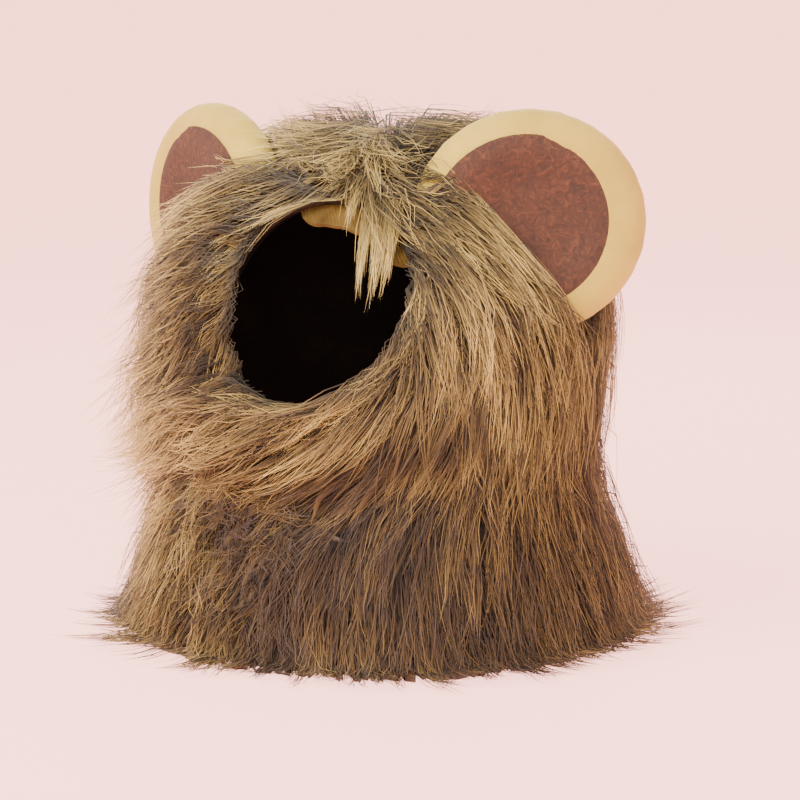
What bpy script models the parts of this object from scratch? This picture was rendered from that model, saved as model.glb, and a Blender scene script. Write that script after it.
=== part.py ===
"""Pet lion hat: a long-pile faux-fur hood, its lining, a brow band and two stuffed ears.

Metres, +Z up. The hat stands on its hem on the plane z = 0 and its face opening looks along -Y.
Places on the hood are given by the angle round it from the middle of the face, positive towards
+X, and by a height.
"""
import bisect
import math
import random
from collections import namedtuple

import bmesh
import bpy
from mathutils import Matrix, Vector

# Walls and gaps
BACKING_THICKNESS = 0.0020
LINING_THICKNESS = 0.0015
BAND_THICKNESS = 0.0015
PATCH_THICKNESS = 0.0012
GAP = 0.0004
LINING_GAP = 0.0006
ROOT_TRIM = 0.0001
HEM_SETBACK = 0.0030
FLOOR_GAP = 0.0004
TRIM_WIDTH = 0.3000
TRIM_DEPTH = 0.0400

# Face opening
OPENING_HALF_WIDTH = 0.0370
OPENING_HALF_HEIGHT = 0.0390
OPENING_HEIGHT = 0.1285
OPENING_LEAN = math.radians(18)
OPENING_MIDDLE = -0.0645
OPENING_DRUM = 0.0700
LINING_OPENING_MARGIN = 0.0006

# Brow band, in degrees round the opening from its top
BAND_START = -24
BAND_END = 66
BAND_INNER = 0.0295
BAND_OUTER = 0.0425
BAND_SETBACK = 0.0008

# Ears
EAR_RADIUS = 0.0422
EAR_THICKNESS = 0.0200
EAR_STRETCH = 1.06
EAR_STRETCH_TILT = math.radians(-15)
EAR_OUT = 0.0635
EAR_FORWARD = -0.0145
EAR_HEIGHT = 0.1555
EAR_TURN = math.radians(32)
EAR_SEAT_DEPTH = 0.0002
EAR_SEAT_LIFT = 0.0002
PATCH_RADIUS = 0.0295
PATCH_SHIFT = 0.0035
PATCH_GAP = 0.0006

# The ear's dished face and domed back, as parts of the rim's radius and of half the thickness
EarRow = namedtuple("EarRow", "out height")
EAR_FACE = (EarRow(0.00, 0.55), EarRow(0.45, 0.60), EarRow(0.80, 0.88))
EAR_BACK = (EarRow(0.55, -1.08), EarRow(0.00, -1.12))
RIM_STEPS = 6

# Mesh steps
HOOD_SIDES = 28
HOOD_ROWS = 12
OPENING_SIDES = 36
BAND_STEPS = 14
EAR_SIDES = 24
PATCH_SIDES = 20
PATCH_RINGS = 3
FLAT_ANGLE = math.radians(3)

# Locks
LOWEST_ROOT = 0.0100
TOP_ROW_SHORT = 1.35
FEWEST_LOCKS = 4
LOCK_ROW_SHARE = 0.64
LOCK_SIDE_STEP = 0.0385
LOCK_ROOT_DEPTH = 0.0014
LOCK_SLIMNESS = 0.76
LOCK_CREST = 0.26
RIM_SLIMNESS = 0.45
SIDE_JITTER = 0.18
LEVEL_JITTER = 0.06
TURN_JITTER = 0.16
SIZE_JITTER = 0.12
LOCK_SEED = 7
WALK_STEP = 0.0080
OPENING_CLEAR = 0.0040

# How far the pile runs out on the floor past the hem: little round the front, more at the sides
HEM_FRONT = 5
HEM_FRONT_REACH = 45
HEM_TURN_REACH = 35
HEM_FRONT_RUN = 0.36
HEM_SIDE_RUN = 0.42
HEM_LIFT = 0.55

# Sections of the cloth hood, from under the hem, where it is trimmed, to the crown's top
Section = namedtuple("Section", "height half_width half_depth middle")
HOOD_SECTIONS = (
    Section(-0.0080, 0.0855, 0.0835, -0.0025),
    Section(0.0250, 0.0760, 0.0740, -0.0035),
    Section(0.0600, 0.0660, 0.0620, -0.0045),
    Section(0.0900, 0.0680, 0.0660, -0.0045),
    Section(0.1200, 0.0700, 0.0670, -0.0015),
    Section(0.1500, 0.0630, 0.0560, 0.0035),
    Section(0.1690, 0.0460, 0.0390, 0.0045),
    Section(0.1780, 0.0240, 0.0200, 0.0045),
    Section(0.1810, 0.0000, 0.0000, 0.0045),
)

# How the pile lies. turn is its direction in degrees from straight down, positive towards +X
# round the hood; rise is the pile's depth over the cloth and flare the height of a lock's tip.
Groom = namedtuple("Groom", "around height turn length rise flare")
GROOM = (
    # Crown
    Groom(-14, 0.176, -58, 0.034, 0.013, 0.017),
    Groom(38, 0.176, 54, 0.036, 0.014, 0.017),
    Groom(85, 0.174, 12, 0.038, 0.014, 0.014),
    Groom(-70, 0.174, -30, 0.038, 0.013, 0.014),
    Groom(180, 0.172, 0, 0.045, 0.014, 0.012),
    # Brow, parted over the opening
    Groom(-18, 0.166, -68, 0.042, 0.012, 0.015),
    Groom(42, 0.166, 62, 0.044, 0.013, 0.014),
    # Left of the opening, swept back and down
    Groom(-48, 0.150, -58, 0.050, 0.020, 0.032),
    Groom(-52, 0.120, -52, 0.052, 0.026, 0.044),
    Groom(-50, 0.095, -38, 0.052, 0.025, 0.040),
    Groom(-80, 0.105, -30, 0.050, 0.027, 0.038),
    # Right of the opening, swept down over the ear's foot
    Groom(46, 0.150, 46, 0.052, 0.016, 0.014),
    Groom(50, 0.120, 34, 0.055, 0.018, 0.014),
    Groom(55, 0.090, 14, 0.055, 0.015, 0.012),
    Groom(100, 0.120, 6, 0.052, 0.016, 0.014),
    # Lip roll under the opening and the crease below it
    Groom(12, 0.092, -58, 0.046, 0.021, 0.015),
    Groom(-18, 0.090, -56, 0.042, 0.020, 0.016),
    Groom(8, 0.070, -8, 0.045, 0.009, 0.010),
    # Front body, with the matted overlap left of the middle
    Groom(0, 0.040, -4, 0.048, 0.014, 0.013),
    Groom(40, 0.050, 2, 0.055, 0.016, 0.014),
    Groom(-14, 0.055, -40, 0.036, 0.012, 0.018),
    Groom(-30, 0.045, 22, 0.036, 0.015, 0.018),
    Groom(-60, 0.055, -14, 0.050, 0.018, 0.017),
    # Hem, flared
    Groom(0, 0.010, 0, 0.036, 0.014, 0.012),
    Groom(70, 0.012, 8, 0.042, 0.018, 0.020),
    Groom(115, 0.014, 16, 0.050, 0.020, 0.030),
    Groom(-60, 0.012, -12, 0.042, 0.020, 0.021),
    Groom(-100, 0.014, -12, 0.046, 0.018, 0.024),
    Groom(180, 0.012, 0, 0.042, 0.018, 0.017),
    # Sides and back
    Groom(100, 0.060, 4, 0.052, 0.019, 0.016),
    Groom(-110, 0.060, -4, 0.050, 0.019, 0.018),
    Groom(180, 0.060, 0, 0.052, 0.020, 0.018),
    Groom(150, 0.120, 0, 0.052, 0.020, 0.018),
    Groom(-150, 0.120, 0, 0.052, 0.020, 0.018),
)
GROOM_REACH_AROUND = 20.0
GROOM_REACH_UP = 0.017

# Locks of the fringe that hang across the top of the opening
Fringe = namedtuple("Fringe", "around height turn length width")
FORELOCK = (
    Fringe(12, 0.1715, -10, 0.047, 0.011),
    Fringe(19, 0.1700, -4, 0.050, 0.011),
    Fringe(28, 0.1680, 2, 0.036, 0.010),
    Fringe(38, 0.1640, 2, 0.034, 0.009),
)
FORELOCK_RISE = 0.0075
FORELOCK_FLARE = 0.0038

# Locks rooted round the opening's edge. clock is in degrees from its top, towards +X.
Rim = namedtuple("Rim", "clock turn length rise flare")
RIM = (
    Rim(-60, -66, 0.044, 0.015, 0.024),
    Rim(-20, -64, 0.040, 0.014, 0.017),
    Rim(35, 62, 0.044, 0.015, 0.015),
    Rim(58, 48, 0.058, 0.031, 0.030),
    Rim(78, 42, 0.060, 0.031, 0.028),
    Rim(100, 30, 0.052, 0.018, 0.015),
    Rim(125, 0, 0.050, 0.018, 0.014),
    Rim(150, -62, 0.052, 0.021, 0.016),
    Rim(200, -64, 0.048, 0.021, 0.018),
    Rim(240, -50, 0.046, 0.023, 0.032),
    Rim(300, -66, 0.044, 0.018, 0.028),
)
RIM_LOCKS = 16
RIM_SETBACK = 0.0050

# Steps along a lock: part of its length, and parts of its full width and rise there
LockStep = namedtuple("LockStep", "along width rise")
LOCK_STEPS = (
    LockStep(0.00, 0.55, 0.30),
    LockStep(0.32, 1.00, 0.95),
    LockStep(0.68, 0.72, 1.00),
)


def catmull_rom(a, b, c, d, t):
    """Value between b and c at t of a smooth curve through four values."""
    return 0.5 * (2 * b + (c - a) * t + (2 * a - 5 * b + 4 * c - d) * t * t
                  + (3 * b - a - 3 * c + d) * t ** 3)


def section_at(level):
    """The hood's section at a level, which counts the table's rows from the hem."""
    last = len(HOOD_SECTIONS) - 1
    level = min(max(level, 0.0), last - 1e-6)
    row = int(level)
    before = HOOD_SECTIONS[max(row - 1, 0)]
    after = HOOD_SECTIONS[min(row + 2, last)]
    rows = zip(before, HOOD_SECTIONS[row], HOOD_SECTIONS[row + 1], after)
    return Section(*[catmull_rom(*values, level - row) for values in rows])


LEVELS = [0.02 * k for k in range(50 * (len(HOOD_SECTIONS) - 1) + 1)]
HEIGHTS = [section_at(level).height for level in LEVELS]


def level_of(height):
    """The level at which the hood has a height."""
    k = min(max(bisect.bisect_left(HEIGHTS, height), 1), len(LEVELS) - 1)
    part = (height - HEIGHTS[k - 1]) / (HEIGHTS[k] - HEIGHTS[k - 1])
    return LEVELS[k - 1] + part * (LEVELS[k] - LEVELS[k - 1])


FLOOR_LEVEL = level_of(0.0030)


def cloth_point(around, level):
    """A point of the backing's outer face; around is in radians."""
    row = section_at(level)
    return Vector((row.half_width * math.sin(around),
                   row.middle - row.half_depth * math.cos(around), row.height))


def cloth_frame(around, level):
    """Directions round the hood, up it and out of it, and metres per radian and per level."""
    small = 0.01
    level = min(max(level, FLOOR_LEVEL), len(HOOD_SECTIONS) - 1.03)
    sideways = cloth_point(around + small, level) - cloth_point(around - small, level)
    upwards = cloth_point(around, level + small) - cloth_point(around, level - small)
    side_rate = sideways.length / (2 * small)
    up_rate = upwards.length / (2 * small)
    side = sideways.normalized()
    up = (upwards - side * upwards.dot(side)).normalized()
    return side, up, side.cross(up), side_rate, up_rate


def cloth_step(around, level, turn, distance):
    """The place reached by going a distance over the cloth; turn is 0 straight down."""
    side_rate, up_rate = cloth_frame(around, level)[3:]
    return (around + math.sin(turn) * distance / side_rate,
            level - math.cos(turn) * distance / up_rate)


def pile_point(around, level, offset):
    """A point over the cloth. Past the hem the pile lies outwards on the floor."""
    base = max(level, FLOOR_LEVEL)
    frame = cloth_frame(around, base)
    out, up_rate = frame[2], frame[4]
    point = cloth_point(around, base) + out * offset
    if level < FLOOR_LEVEL:
        flat = Vector((out.x, out.y, 0.0)).normalized()
        sideways = abs((math.degrees(around) - HEM_FRONT + 180) % 360 - 180)
        share = min(max((sideways - HEM_FRONT_REACH) / HEM_TURN_REACH, 0.0), 1.0)
        run = HEM_FRONT_RUN + (HEM_SIDE_RUN - HEM_FRONT_RUN) * share
        point += flat * ((FLOOR_LEVEL - level) * up_rate * run)
        point.z = offset * HEM_LIFT
    point.z = max(point.z, FLOOR_GAP)
    return point


def groom_at(around, height):
    """The groom table blended at a place; around is in radians."""
    total = 0.0
    sums = [0.0] * 4
    for row in GROOM:
        gap = (math.degrees(around) - row.around + 180) % 360 - 180
        far = (gap / GROOM_REACH_AROUND) ** 2 + ((height - row.height) / GROOM_REACH_UP) ** 2
        weight = math.exp(-0.5 * far) + 1e-6 / (1 + far)
        total += weight
        for k, value in enumerate((row.turn, row.length, row.rise, row.flare)):
            sums[k] += weight * value
    turn, length, rise, flare = [value / total for value in sums]
    return math.radians(turn), length, rise, flare


def in_opening(around, level, margin):
    """Whether a place on the hood lies in the face opening or within a margin of it."""
    point = cloth_point(around, level)
    if point.y > 0:
        return False
    across = point.x / (OPENING_HALF_WIDTH + margin)
    upright = (point.z - OPENING_HEIGHT) / ((OPENING_HALF_HEIGHT + margin) * math.cos(OPENING_LEAN))
    return across ** 2 + upright ** 2 < 1


def add_object(name, mesh, collection):
    obj = bpy.data.objects.new(name, mesh)
    collection.objects.link(obj)
    return obj


def mesh_from_bmesh(name, bm):
    bmesh.ops.recalc_face_normals(bm, faces=bm.faces)
    mesh = bpy.data.meshes.new(name)
    bm.to_mesh(mesh)
    bm.free()
    return mesh


def bridge(bm, lower, upper, closed):
    """Quads between two rows of vertices."""
    count = len(lower)
    for k in range(count if closed else count - 1):
        after = (k + 1) % count
        bm.faces.new((lower[k], lower[after], upper[after], upper[k]))


def hood_surface(name, inset):
    """The open cloth surface, from under the floor to the crown's top, set inwards."""
    bm = bmesh.new()
    last = len(HOOD_SECTIONS) - 1
    before = None
    for row in range(HOOD_ROWS):
        level = last * row / HOOD_ROWS
        ring = []
        for k in range(HOOD_SIDES):
            around = 2 * math.pi * k / HOOD_SIDES
            out = cloth_frame(around, level)[2]
            ring.append(bm.verts.new(cloth_point(around, level) - out * inset))
        if before:
            bridge(bm, before, ring, True)
        before = ring
    top = bm.verts.new(cloth_point(0, last) - Vector((0, 0, inset)))
    for k in range(HOOD_SIDES):
        bm.faces.new((before[k], before[(k + 1) % HOOD_SIDES], top))
    return mesh_from_bmesh(name, bm)


def solidify(obj, thickness):
    """Thickness added on the inner side of an open surface."""
    modifier = obj.modifiers.new("Wall", "SOLIDIFY")
    modifier.thickness = thickness
    modifier.offset = -1
    modifier.use_even_offset = True


def boolean(obj, cutter, operation="DIFFERENCE", solver="EXACT"):
    modifier = obj.modifiers.new(operation.title(), "BOOLEAN")
    modifier.operation = operation
    modifier.solver = solver
    if isinstance(cutter, bpy.types.Collection):
        modifier.operand_type = "COLLECTION"
        modifier.collection = cutter
    else:
        modifier.object = cutter


def apply_modifiers(obj):
    graph = bpy.context.evaluated_depsgraph_get()
    mesh = bpy.data.meshes.new_from_object(obj.evaluated_get(graph))
    obj.modifiers.clear()
    obj.data = mesh


def keep_largest_body(obj):
    """Drops the crumbs that joining and cutting leave, and merges faces that lie flat."""
    bm = bmesh.new()
    bm.from_mesh(obj.data)
    left = set(bm.verts)
    bodies = []
    while left:
        body = {left.pop()}
        edge = list(body)
        while edge:
            vert = edge.pop()
            for link in vert.link_edges:
                other = link.other_vert(vert)
                if other in left:
                    left.remove(other)
                    body.add(other)
                    edge.append(other)
        bodies.append(body)
    largest = max(bodies, key=len)
    bmesh.ops.delete(bm, geom=[v for v in bm.verts if v not in largest], context="VERTS")
    bmesh.ops.dissolve_limit(bm, angle_limit=FLAT_ANGLE, verts=bm.verts, edges=bm.edges)
    bmesh.ops.triangulate(bm, faces=bm.faces)
    bm.to_mesh(obj.data)
    bm.free()


def as_cutter(obj, tools):
    obj.hide_render = True
    obj.display_type = "WIRE"
    for collection in list(obj.users_collection):
        collection.objects.unlink(obj)
    tools.objects.link(obj)
    return obj


def opening_cutter(name, margin, tools):
    """A drum along the face opening's axis, which looks forwards and a little up."""
    bpy.ops.mesh.primitive_cylinder_add(
        vertices=OPENING_SIDES, radius=1, depth=OPENING_DRUM,
        location=(0, OPENING_MIDDLE, OPENING_HEIGHT), rotation=(math.pi / 2 - OPENING_LEAN, 0, 0))
    drum = bpy.context.object
    drum.name = name
    drum.scale = (OPENING_HALF_WIDTH + margin, OPENING_HALF_HEIGHT + margin, 1)
    return as_cutter(drum, tools)


def hem_cutter(name, height, tools):
    """A slab that trims a wall off at a height."""
    bpy.ops.mesh.primitive_cube_add(size=1, location=(0, 0, height - TRIM_DEPTH / 2))
    block = bpy.context.object
    block.name = name
    block.scale = (TRIM_WIDTH, TRIM_WIDTH, TRIM_DEPTH)
    return as_cutter(block, tools)


def lock_mesh(name, around, level, turn, length, width, rise, flare):
    """A closed tapered lock, rooted in the backing and laid along the groom."""
    bm = bmesh.new()
    rings = []
    walked = 0.0
    for step in LOCK_STEPS + (LockStep(1.0, 0.0, 1.0),):
        run = (step.along - walked) * length
        pieces = math.ceil(run / WALK_STEP)
        for _ in range(pieces):
            around, level = cloth_step(around, level, turn, run / pieces)
        walked = step.along
        if step.width == 0:
            tip = bm.verts.new(pile_point(around, level, flare))
            break
        ring = []
        for across, crest in ((-0.5, False), (0.5, False), (LOCK_CREST, True), (-LOCK_CREST, True)):
            place = cloth_step(around, level, turn + math.pi / 2, across * width * step.width)
            offset = rise * step.rise if crest else -LOCK_ROOT_DEPTH
            ring.append(bm.verts.new(pile_point(*place, offset)))
        rings.append(ring)
    for lower, upper in zip(rings, rings[1:]):
        bridge(bm, lower, upper, True)
    bm.faces.new(rings[0])
    for k in range(len(ring)):
        bm.faces.new((rings[-1][k], rings[-1][(k + 1) % len(ring)], tip))
    return mesh_from_bmesh(name, bm)


def lock_places():
    """Staggered rows of lock roots up the hood: angle and level of each."""
    chance = random.Random(LOCK_SEED)
    places = []
    level = level_of(LOWEST_ROOT)
    odd = False
    while level < len(HOOD_SECTIONS) - TOP_ROW_SHORT:
        row = section_at(level)
        girth = math.pi * (row.half_width + row.half_depth)
        count = max(FEWEST_LOCKS, round(girth / LOCK_SIDE_STEP))
        for k in range(count):
            slot = k + 0.5 * odd + chance.uniform(-SIDE_JITTER, SIDE_JITTER)
            shifted = level + chance.uniform(-LEVEL_JITTER, LEVEL_JITTER)
            places.append((2 * math.pi * slot / count, shifted))
        length = groom_at(math.pi / 2, row.height)[1]
        level += length * LOCK_ROW_SHARE / cloth_frame(math.pi / 2, level)[4]
        odd = not odd
    return places


def rim_at(clock):
    """The rim table between its rows."""
    for before, after in zip(RIM, RIM[1:]):
        if clock <= after.clock:
            part = (clock - before.clock) / (after.clock - before.clock)
            return [low + (high - low) * part for low, high in zip(before, after)]
    return list(RIM[-1])


def opening_place(clock, setback):
    """Angle round the hood and level of a place at the opening's edge; clock is in degrees."""
    across = (OPENING_HALF_WIDTH + setback) * math.sin(math.radians(clock))
    upright = (OPENING_HALF_HEIGHT + setback) * math.cos(math.radians(clock))
    level = level_of(OPENING_HEIGHT + upright * math.cos(OPENING_LEAN))
    return math.asin(across / section_at(level).half_width), level


def crosses_opening(around, level, turn, length):
    """Whether a lock laid from a place would reach over the face opening."""
    pieces = math.ceil(length / WALK_STEP)
    for _ in range(pieces):
        if in_opening(around, level, OPENING_CLEAR):
            return True
        around, level = cloth_step(around, level, turn, length / pieces)
    return False


def add_locks(locks):
    chance = random.Random(LOCK_SEED + 1)
    count = 0
    for around, level in lock_places():
        turn, length, rise, flare = groom_at(around, section_at(level).height)
        turn += chance.uniform(-TURN_JITTER, TURN_JITTER)
        if crosses_opening(around, level, turn, length):
            continue
        size = 1 + chance.uniform(-SIZE_JITTER, SIZE_JITTER)
        mesh = lock_mesh("lock", around, level, turn, length * size, length * LOCK_SLIMNESS,
                         rise * size, flare)
        add_object(f"lock_{count:03d}", mesh, locks)
        count += 1
    for k in range(RIM_LOCKS):
        clock = RIM[0].clock + 360 * (k + chance.uniform(-SIDE_JITTER, SIDE_JITTER)) / RIM_LOCKS
        clock, turn, length, rise, flare = rim_at(max(clock, RIM[0].clock))
        around, level = opening_place(clock, RIM_SETBACK)
        mesh = lock_mesh("rim_lock", around, level, math.radians(turn), length,
                         length * RIM_SLIMNESS, rise, flare)
        add_object(f"lock_{count:03d}", mesh, locks)
        count += 1
    for row in FORELOCK:
        mesh = lock_mesh("forelock", math.radians(row.around), level_of(row.height),
                         math.radians(row.turn), row.length, row.width,
                         FORELOCK_RISE, FORELOCK_FLARE)
        add_object(f"lock_{count:03d}", mesh, locks)
        count += 1
    for obj in locks.objects:
        obj.hide_render = True
        obj.display_type = "WIRE"


def ear_profile(grow, face_grow):
    """Half of an ear's cross-section: a dished face inside a padded rim, and a domed back."""
    half = EAR_THICKNESS / 2
    rim = EAR_RADIUS - half
    points = [(rim * row.out, half * row.height + face_grow) for row in EAR_FACE]
    for k in range(RIM_STEPS + 1):
        angle = math.pi / 2 - math.pi * k / RIM_STEPS
        reach = half + (face_grow if k < 2 else grow)
        points.append((rim + reach * math.cos(angle), reach * math.sin(angle)))
    points += [(rim * row.out, half * row.height - grow) for row in EAR_BACK]
    return points


def face_height(radius):
    """Height of the ear's face over its middle plane at a radius."""
    points = ear_profile(0.0, 0.0)[:len(EAR_FACE) + 2]
    for (near, low), (far, high) in zip(points, points[1:]):
        if radius <= far:
            return low + (high - low) * (radius - near) / (far - near)
    return points[-1][1]


def ear_matrix(side):
    """Place of an ear: its face looks forwards and outwards; side is 1 towards +X."""
    facing = Matrix.Rotation(side * EAR_TURN, 4, "Z") @ Matrix.Rotation(math.pi / 2, 4, "X")
    place = Matrix.Translation((side * EAR_OUT, EAR_FORWARD, EAR_HEIGHT))
    tilt = Matrix.Rotation(-side * EAR_STRETCH_TILT, 4, "Z")
    stretch = tilt @ Matrix.Diagonal((EAR_STRETCH, 1.0, 1.0, 1.0)) @ tilt.inverted()
    return place @ facing @ stretch


def ear_object(name, side, grow, face_grow, collection):
    """A turned ear: the profile spun by a Screw modifier, then placed."""
    bm = bmesh.new()
    verts = [bm.verts.new((x, 0, z)) for x, z in ear_profile(grow, face_grow)]
    for first, second in zip(verts, verts[1:]):
        bm.edges.new((first, second))
    mesh = bpy.data.meshes.new(name)
    bm.to_mesh(mesh)
    bm.free()
    ear = add_object(name, mesh, collection)
    screw = ear.modifiers.new("Turned", "SCREW")
    screw.axis = "Z"
    screw.steps = EAR_SIDES
    screw.render_steps = EAR_SIDES
    screw.use_merge_vertices = True
    screw.merge_threshold = 0.00005
    ear.matrix_world = ear_matrix(side)
    return ear


def patch_object(name, side, collection):
    """The fleece patch, a thin cap that follows the ear's dished face."""
    bm = bmesh.new()
    centre = bm.verts.new((-side * PATCH_SHIFT, 0, face_height(PATCH_SHIFT) + PATCH_GAP))
    before = None
    for ring in range(1, PATCH_RINGS + 1):
        verts = []
        for k in range(PATCH_SIDES):
            angle = 2 * math.pi * k / PATCH_SIDES
            x = PATCH_RADIUS * ring / PATCH_RINGS * math.cos(angle) - side * PATCH_SHIFT
            y = PATCH_RADIUS * ring / PATCH_RINGS * math.sin(angle)
            verts.append(bm.verts.new((x, y, face_height(math.hypot(x, y)) + PATCH_GAP)))
        if before:
            bridge(bm, before, verts, True)
        else:
            for k in range(PATCH_SIDES):
                bm.faces.new((centre, verts[k], verts[(k + 1) % PATCH_SIDES]))
        before = verts
    patch = add_object(name, mesh_from_bmesh(name, bm), collection)
    wall = patch.modifiers.new("Wall", "SOLIDIFY")
    wall.thickness = PATCH_THICKNESS
    wall.offset = 1
    patch.matrix_world = ear_matrix(side)
    return patch


def band_surface(name, inset, grow):
    """The strip along the top of the opening, laid on the hood's surface set inwards."""
    bm = bmesh.new()
    before = None
    start = math.radians(BAND_START) - grow / BAND_OUTER
    end = math.radians(BAND_END) + grow / BAND_OUTER
    for k in range(BAND_STEPS + 1):
        angle = start + (end - start) * k / BAND_STEPS
        row = []
        for radius in (BAND_INNER - grow, (BAND_INNER + BAND_OUTER) / 2, BAND_OUTER + grow):
            x = radius * math.sin(angle)
            height = OPENING_HEIGHT + radius * math.cos(angle) * math.cos(OPENING_LEAN)
            level = level_of(height)
            around = math.asin(x / section_at(level).half_width)
            out = cloth_frame(around, level)[2]
            row.append(bm.verts.new(cloth_point(around, level) - out * inset))
        if before:
            bridge(bm, before, row, False)
        before = row
    return mesh_from_bmesh(name, bm)


def material(name, colour, roughness):
    made = bpy.data.materials.new(name)
    made.use_nodes = True
    shader = made.node_tree.nodes["Principled BSDF"]
    shader.inputs["Base Color"].default_value = (*colour, 1)
    shader.inputs["Roughness"].default_value = roughness
    shader.inputs["Metallic"].default_value = 0.0
    return made


def hood_core(name, inset, tools):
    """The hood's whole volume, set in from the backing's outer face."""
    mesh = hood_surface(name, inset)
    bm = bmesh.new()
    bm.from_mesh(mesh)
    bmesh.ops.holes_fill(bm, edges=[edge for edge in bm.edges if edge.is_boundary])
    bmesh.ops.recalc_face_normals(bm, faces=bm.faces)
    bm.to_mesh(mesh)
    bm.free()
    return as_cutter(add_object(name, mesh, tools), tools)


def make_hood(parts, tools, locks):
    """The backing with its locks. The locks give way to the ears and the cloth stays whole."""
    mesh = hood_surface("fur_hood", 0.0)
    hood = add_object("fur_hood", mesh, parts)
    solidify(hood, BACKING_THICKNESS)
    boolean(hood, opening_cutter("face_opening", 0.0, tools))
    boolean(hood, hem_cutter("hem_trim", 0.0, tools))
    add_locks(locks)
    boolean(hood, locks, "UNION", "MANIFOLD")
    hollow = hood_core("hollow", BACKING_THICKNESS + ROOT_TRIM, tools)
    boolean(hood, hollow, solver="MANIFOLD")
    core = hood_core("backing_core", EAR_SEAT_DEPTH, tools)
    face_room = PATCH_GAP + PATCH_THICKNESS + 2 * GAP
    for side, word in ((-1, "left"), (1, "right")):
        ear = ear_object(f"ear_{word}_clearance", side, GAP, face_room, tools)
        as_cutter(ear, tools)
        boolean(ear, core, solver="MANIFOLD")
        boolean(hood, ear, solver="MANIFOLD")
    apply_modifiers(hood)
    keep_largest_body(hood)
    return hood


def make_lining(parts, tools):
    inset = BACKING_THICKNESS + LINING_GAP
    mesh = hood_surface("lining", inset)
    lining = add_object("lining", mesh, parts)
    solidify(lining, LINING_THICKNESS)
    boolean(lining, opening_cutter("lining_opening", LINING_OPENING_MARGIN, tools))
    boolean(lining, hem_cutter("lining_trim", HEM_SETBACK, tools))
    room = band_surface("band_clearance", BACKING_THICKNESS, GAP)
    band_room = add_object("band_clearance", room, tools)
    solidify(band_room, BAND_SETBACK + BAND_THICKNESS + GAP)
    boolean(lining, as_cutter(band_room, tools), solver="MANIFOLD")
    return lining


def make_band(parts):
    inset = BACKING_THICKNESS + BAND_SETBACK
    band = add_object("brow_band", band_surface("brow_band", inset, 0.0), parts)
    solidify(band, BAND_THICKNESS)
    return band


def make_ear(side, word, core, parts):
    """A stuffed ear sewn on over the backing, with the fleece patch on its face."""
    ear = ear_object(f"ear_{word}", side, 0.0, 0.0, parts)
    patch = patch_object(f"inner_ear_{word}", side, parts)
    for obj in (ear, patch):
        boolean(obj, core, solver="MANIFOLD")
        apply_modifiers(obj)
        keep_largest_body(obj)
    return ear, patch


def clear():
    for obj in list(bpy.data.objects):
        bpy.data.objects.remove(obj)


def main():
    clear()
    scene = bpy.context.scene
    parts = bpy.data.collections.new("pet_lion_hat")
    tools = bpy.data.collections.new("cutters")
    locks = bpy.data.collections.new("lock_shapes")
    for collection in (parts, tools, locks):
        scene.collection.children.link(collection)
    hood = make_hood(parts, tools, locks)
    hood.data.materials.append(material("faux_fur", (0.27, 0.19, 0.09), 0.85))
    lining = make_lining(parts, tools)
    lining.data.materials.append(material("lining_cloth", (0.02, 0.012, 0.01), 0.95))
    band = make_band(parts)
    band.data.materials.append(material("band_cloth", (0.36, 0.24, 0.11), 0.90))
    plush = material("ear_plush", (0.70, 0.53, 0.25), 0.90)
    fleece = material("ear_fleece", (0.30, 0.12, 0.06), 0.95)
    ear_core = hood_core("ear_core", -EAR_SEAT_LIFT, tools)
    for side, word in ((-1, "left"), (1, "right")):
        ear, patch = make_ear(side, word, ear_core, parts)
        ear.data.materials.append(plush)
        patch.data.materials.append(fleece)


main()
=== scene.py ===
import math

import bpy
import numpy as np
from mathutils import Matrix, Vector


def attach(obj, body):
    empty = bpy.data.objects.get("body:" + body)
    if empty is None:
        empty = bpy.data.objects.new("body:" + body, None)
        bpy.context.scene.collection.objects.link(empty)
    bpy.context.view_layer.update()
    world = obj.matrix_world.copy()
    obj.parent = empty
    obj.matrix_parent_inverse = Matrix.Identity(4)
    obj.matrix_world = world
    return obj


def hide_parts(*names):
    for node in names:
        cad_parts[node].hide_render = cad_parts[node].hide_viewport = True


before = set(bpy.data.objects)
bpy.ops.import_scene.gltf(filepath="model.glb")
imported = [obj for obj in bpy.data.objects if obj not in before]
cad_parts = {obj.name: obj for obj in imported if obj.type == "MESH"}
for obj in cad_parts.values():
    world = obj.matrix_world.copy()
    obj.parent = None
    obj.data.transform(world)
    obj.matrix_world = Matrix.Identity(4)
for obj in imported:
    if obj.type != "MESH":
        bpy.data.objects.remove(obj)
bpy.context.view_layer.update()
chance = np.random.default_rng(11)


# A table typed in degrees and millimetres: the columns given are turned to metres
def tableOf(columns, rows):
    table = np.array(rows, float)
    table[:, columns] /= 1000
    return table


# The cloth hood. Its sections run from hem to crown: height, half width, half depth, middle
hoodForm = {
    "sections": tableOf([0, 1, 2, 3], [
        (-8, 85.5, 83.5, -2.5), (25, 76, 74, -3.5), (60, 66, 62, -4.5), (90, 68, 66, -4.5),
        (120, 70, 67, -1.5), (150, 63, 56, 3.5), (169, 46, 39, 4.5), (178, 24, 20, 4.5),
        (181, 0, 0, 4.5)]),
    "openingHalfWidth": 0.0370, "openingHalfHeight": 0.0390, "openingHeight": 0.1285,
    "openingLean": math.radians(18), "openingMiddle": -0.0645, "openingInset": 0.006,
    "backing": 0.0020, "backingStart": 0.0010, "lining": 0.0014, "liningInset": 0.0027,
    "liningStart": 0.0030, "liningMargin": 0.0012, "folds": 0.0022, "foldSize": 0.020,
    "sides": 72, "rows": 30, "crownGap": 1.06, "domeFrom": 0.12, "domeHeight": 0.058,
    "hemHeight": 0.0030, "topGap": 1.03,
}

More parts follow.
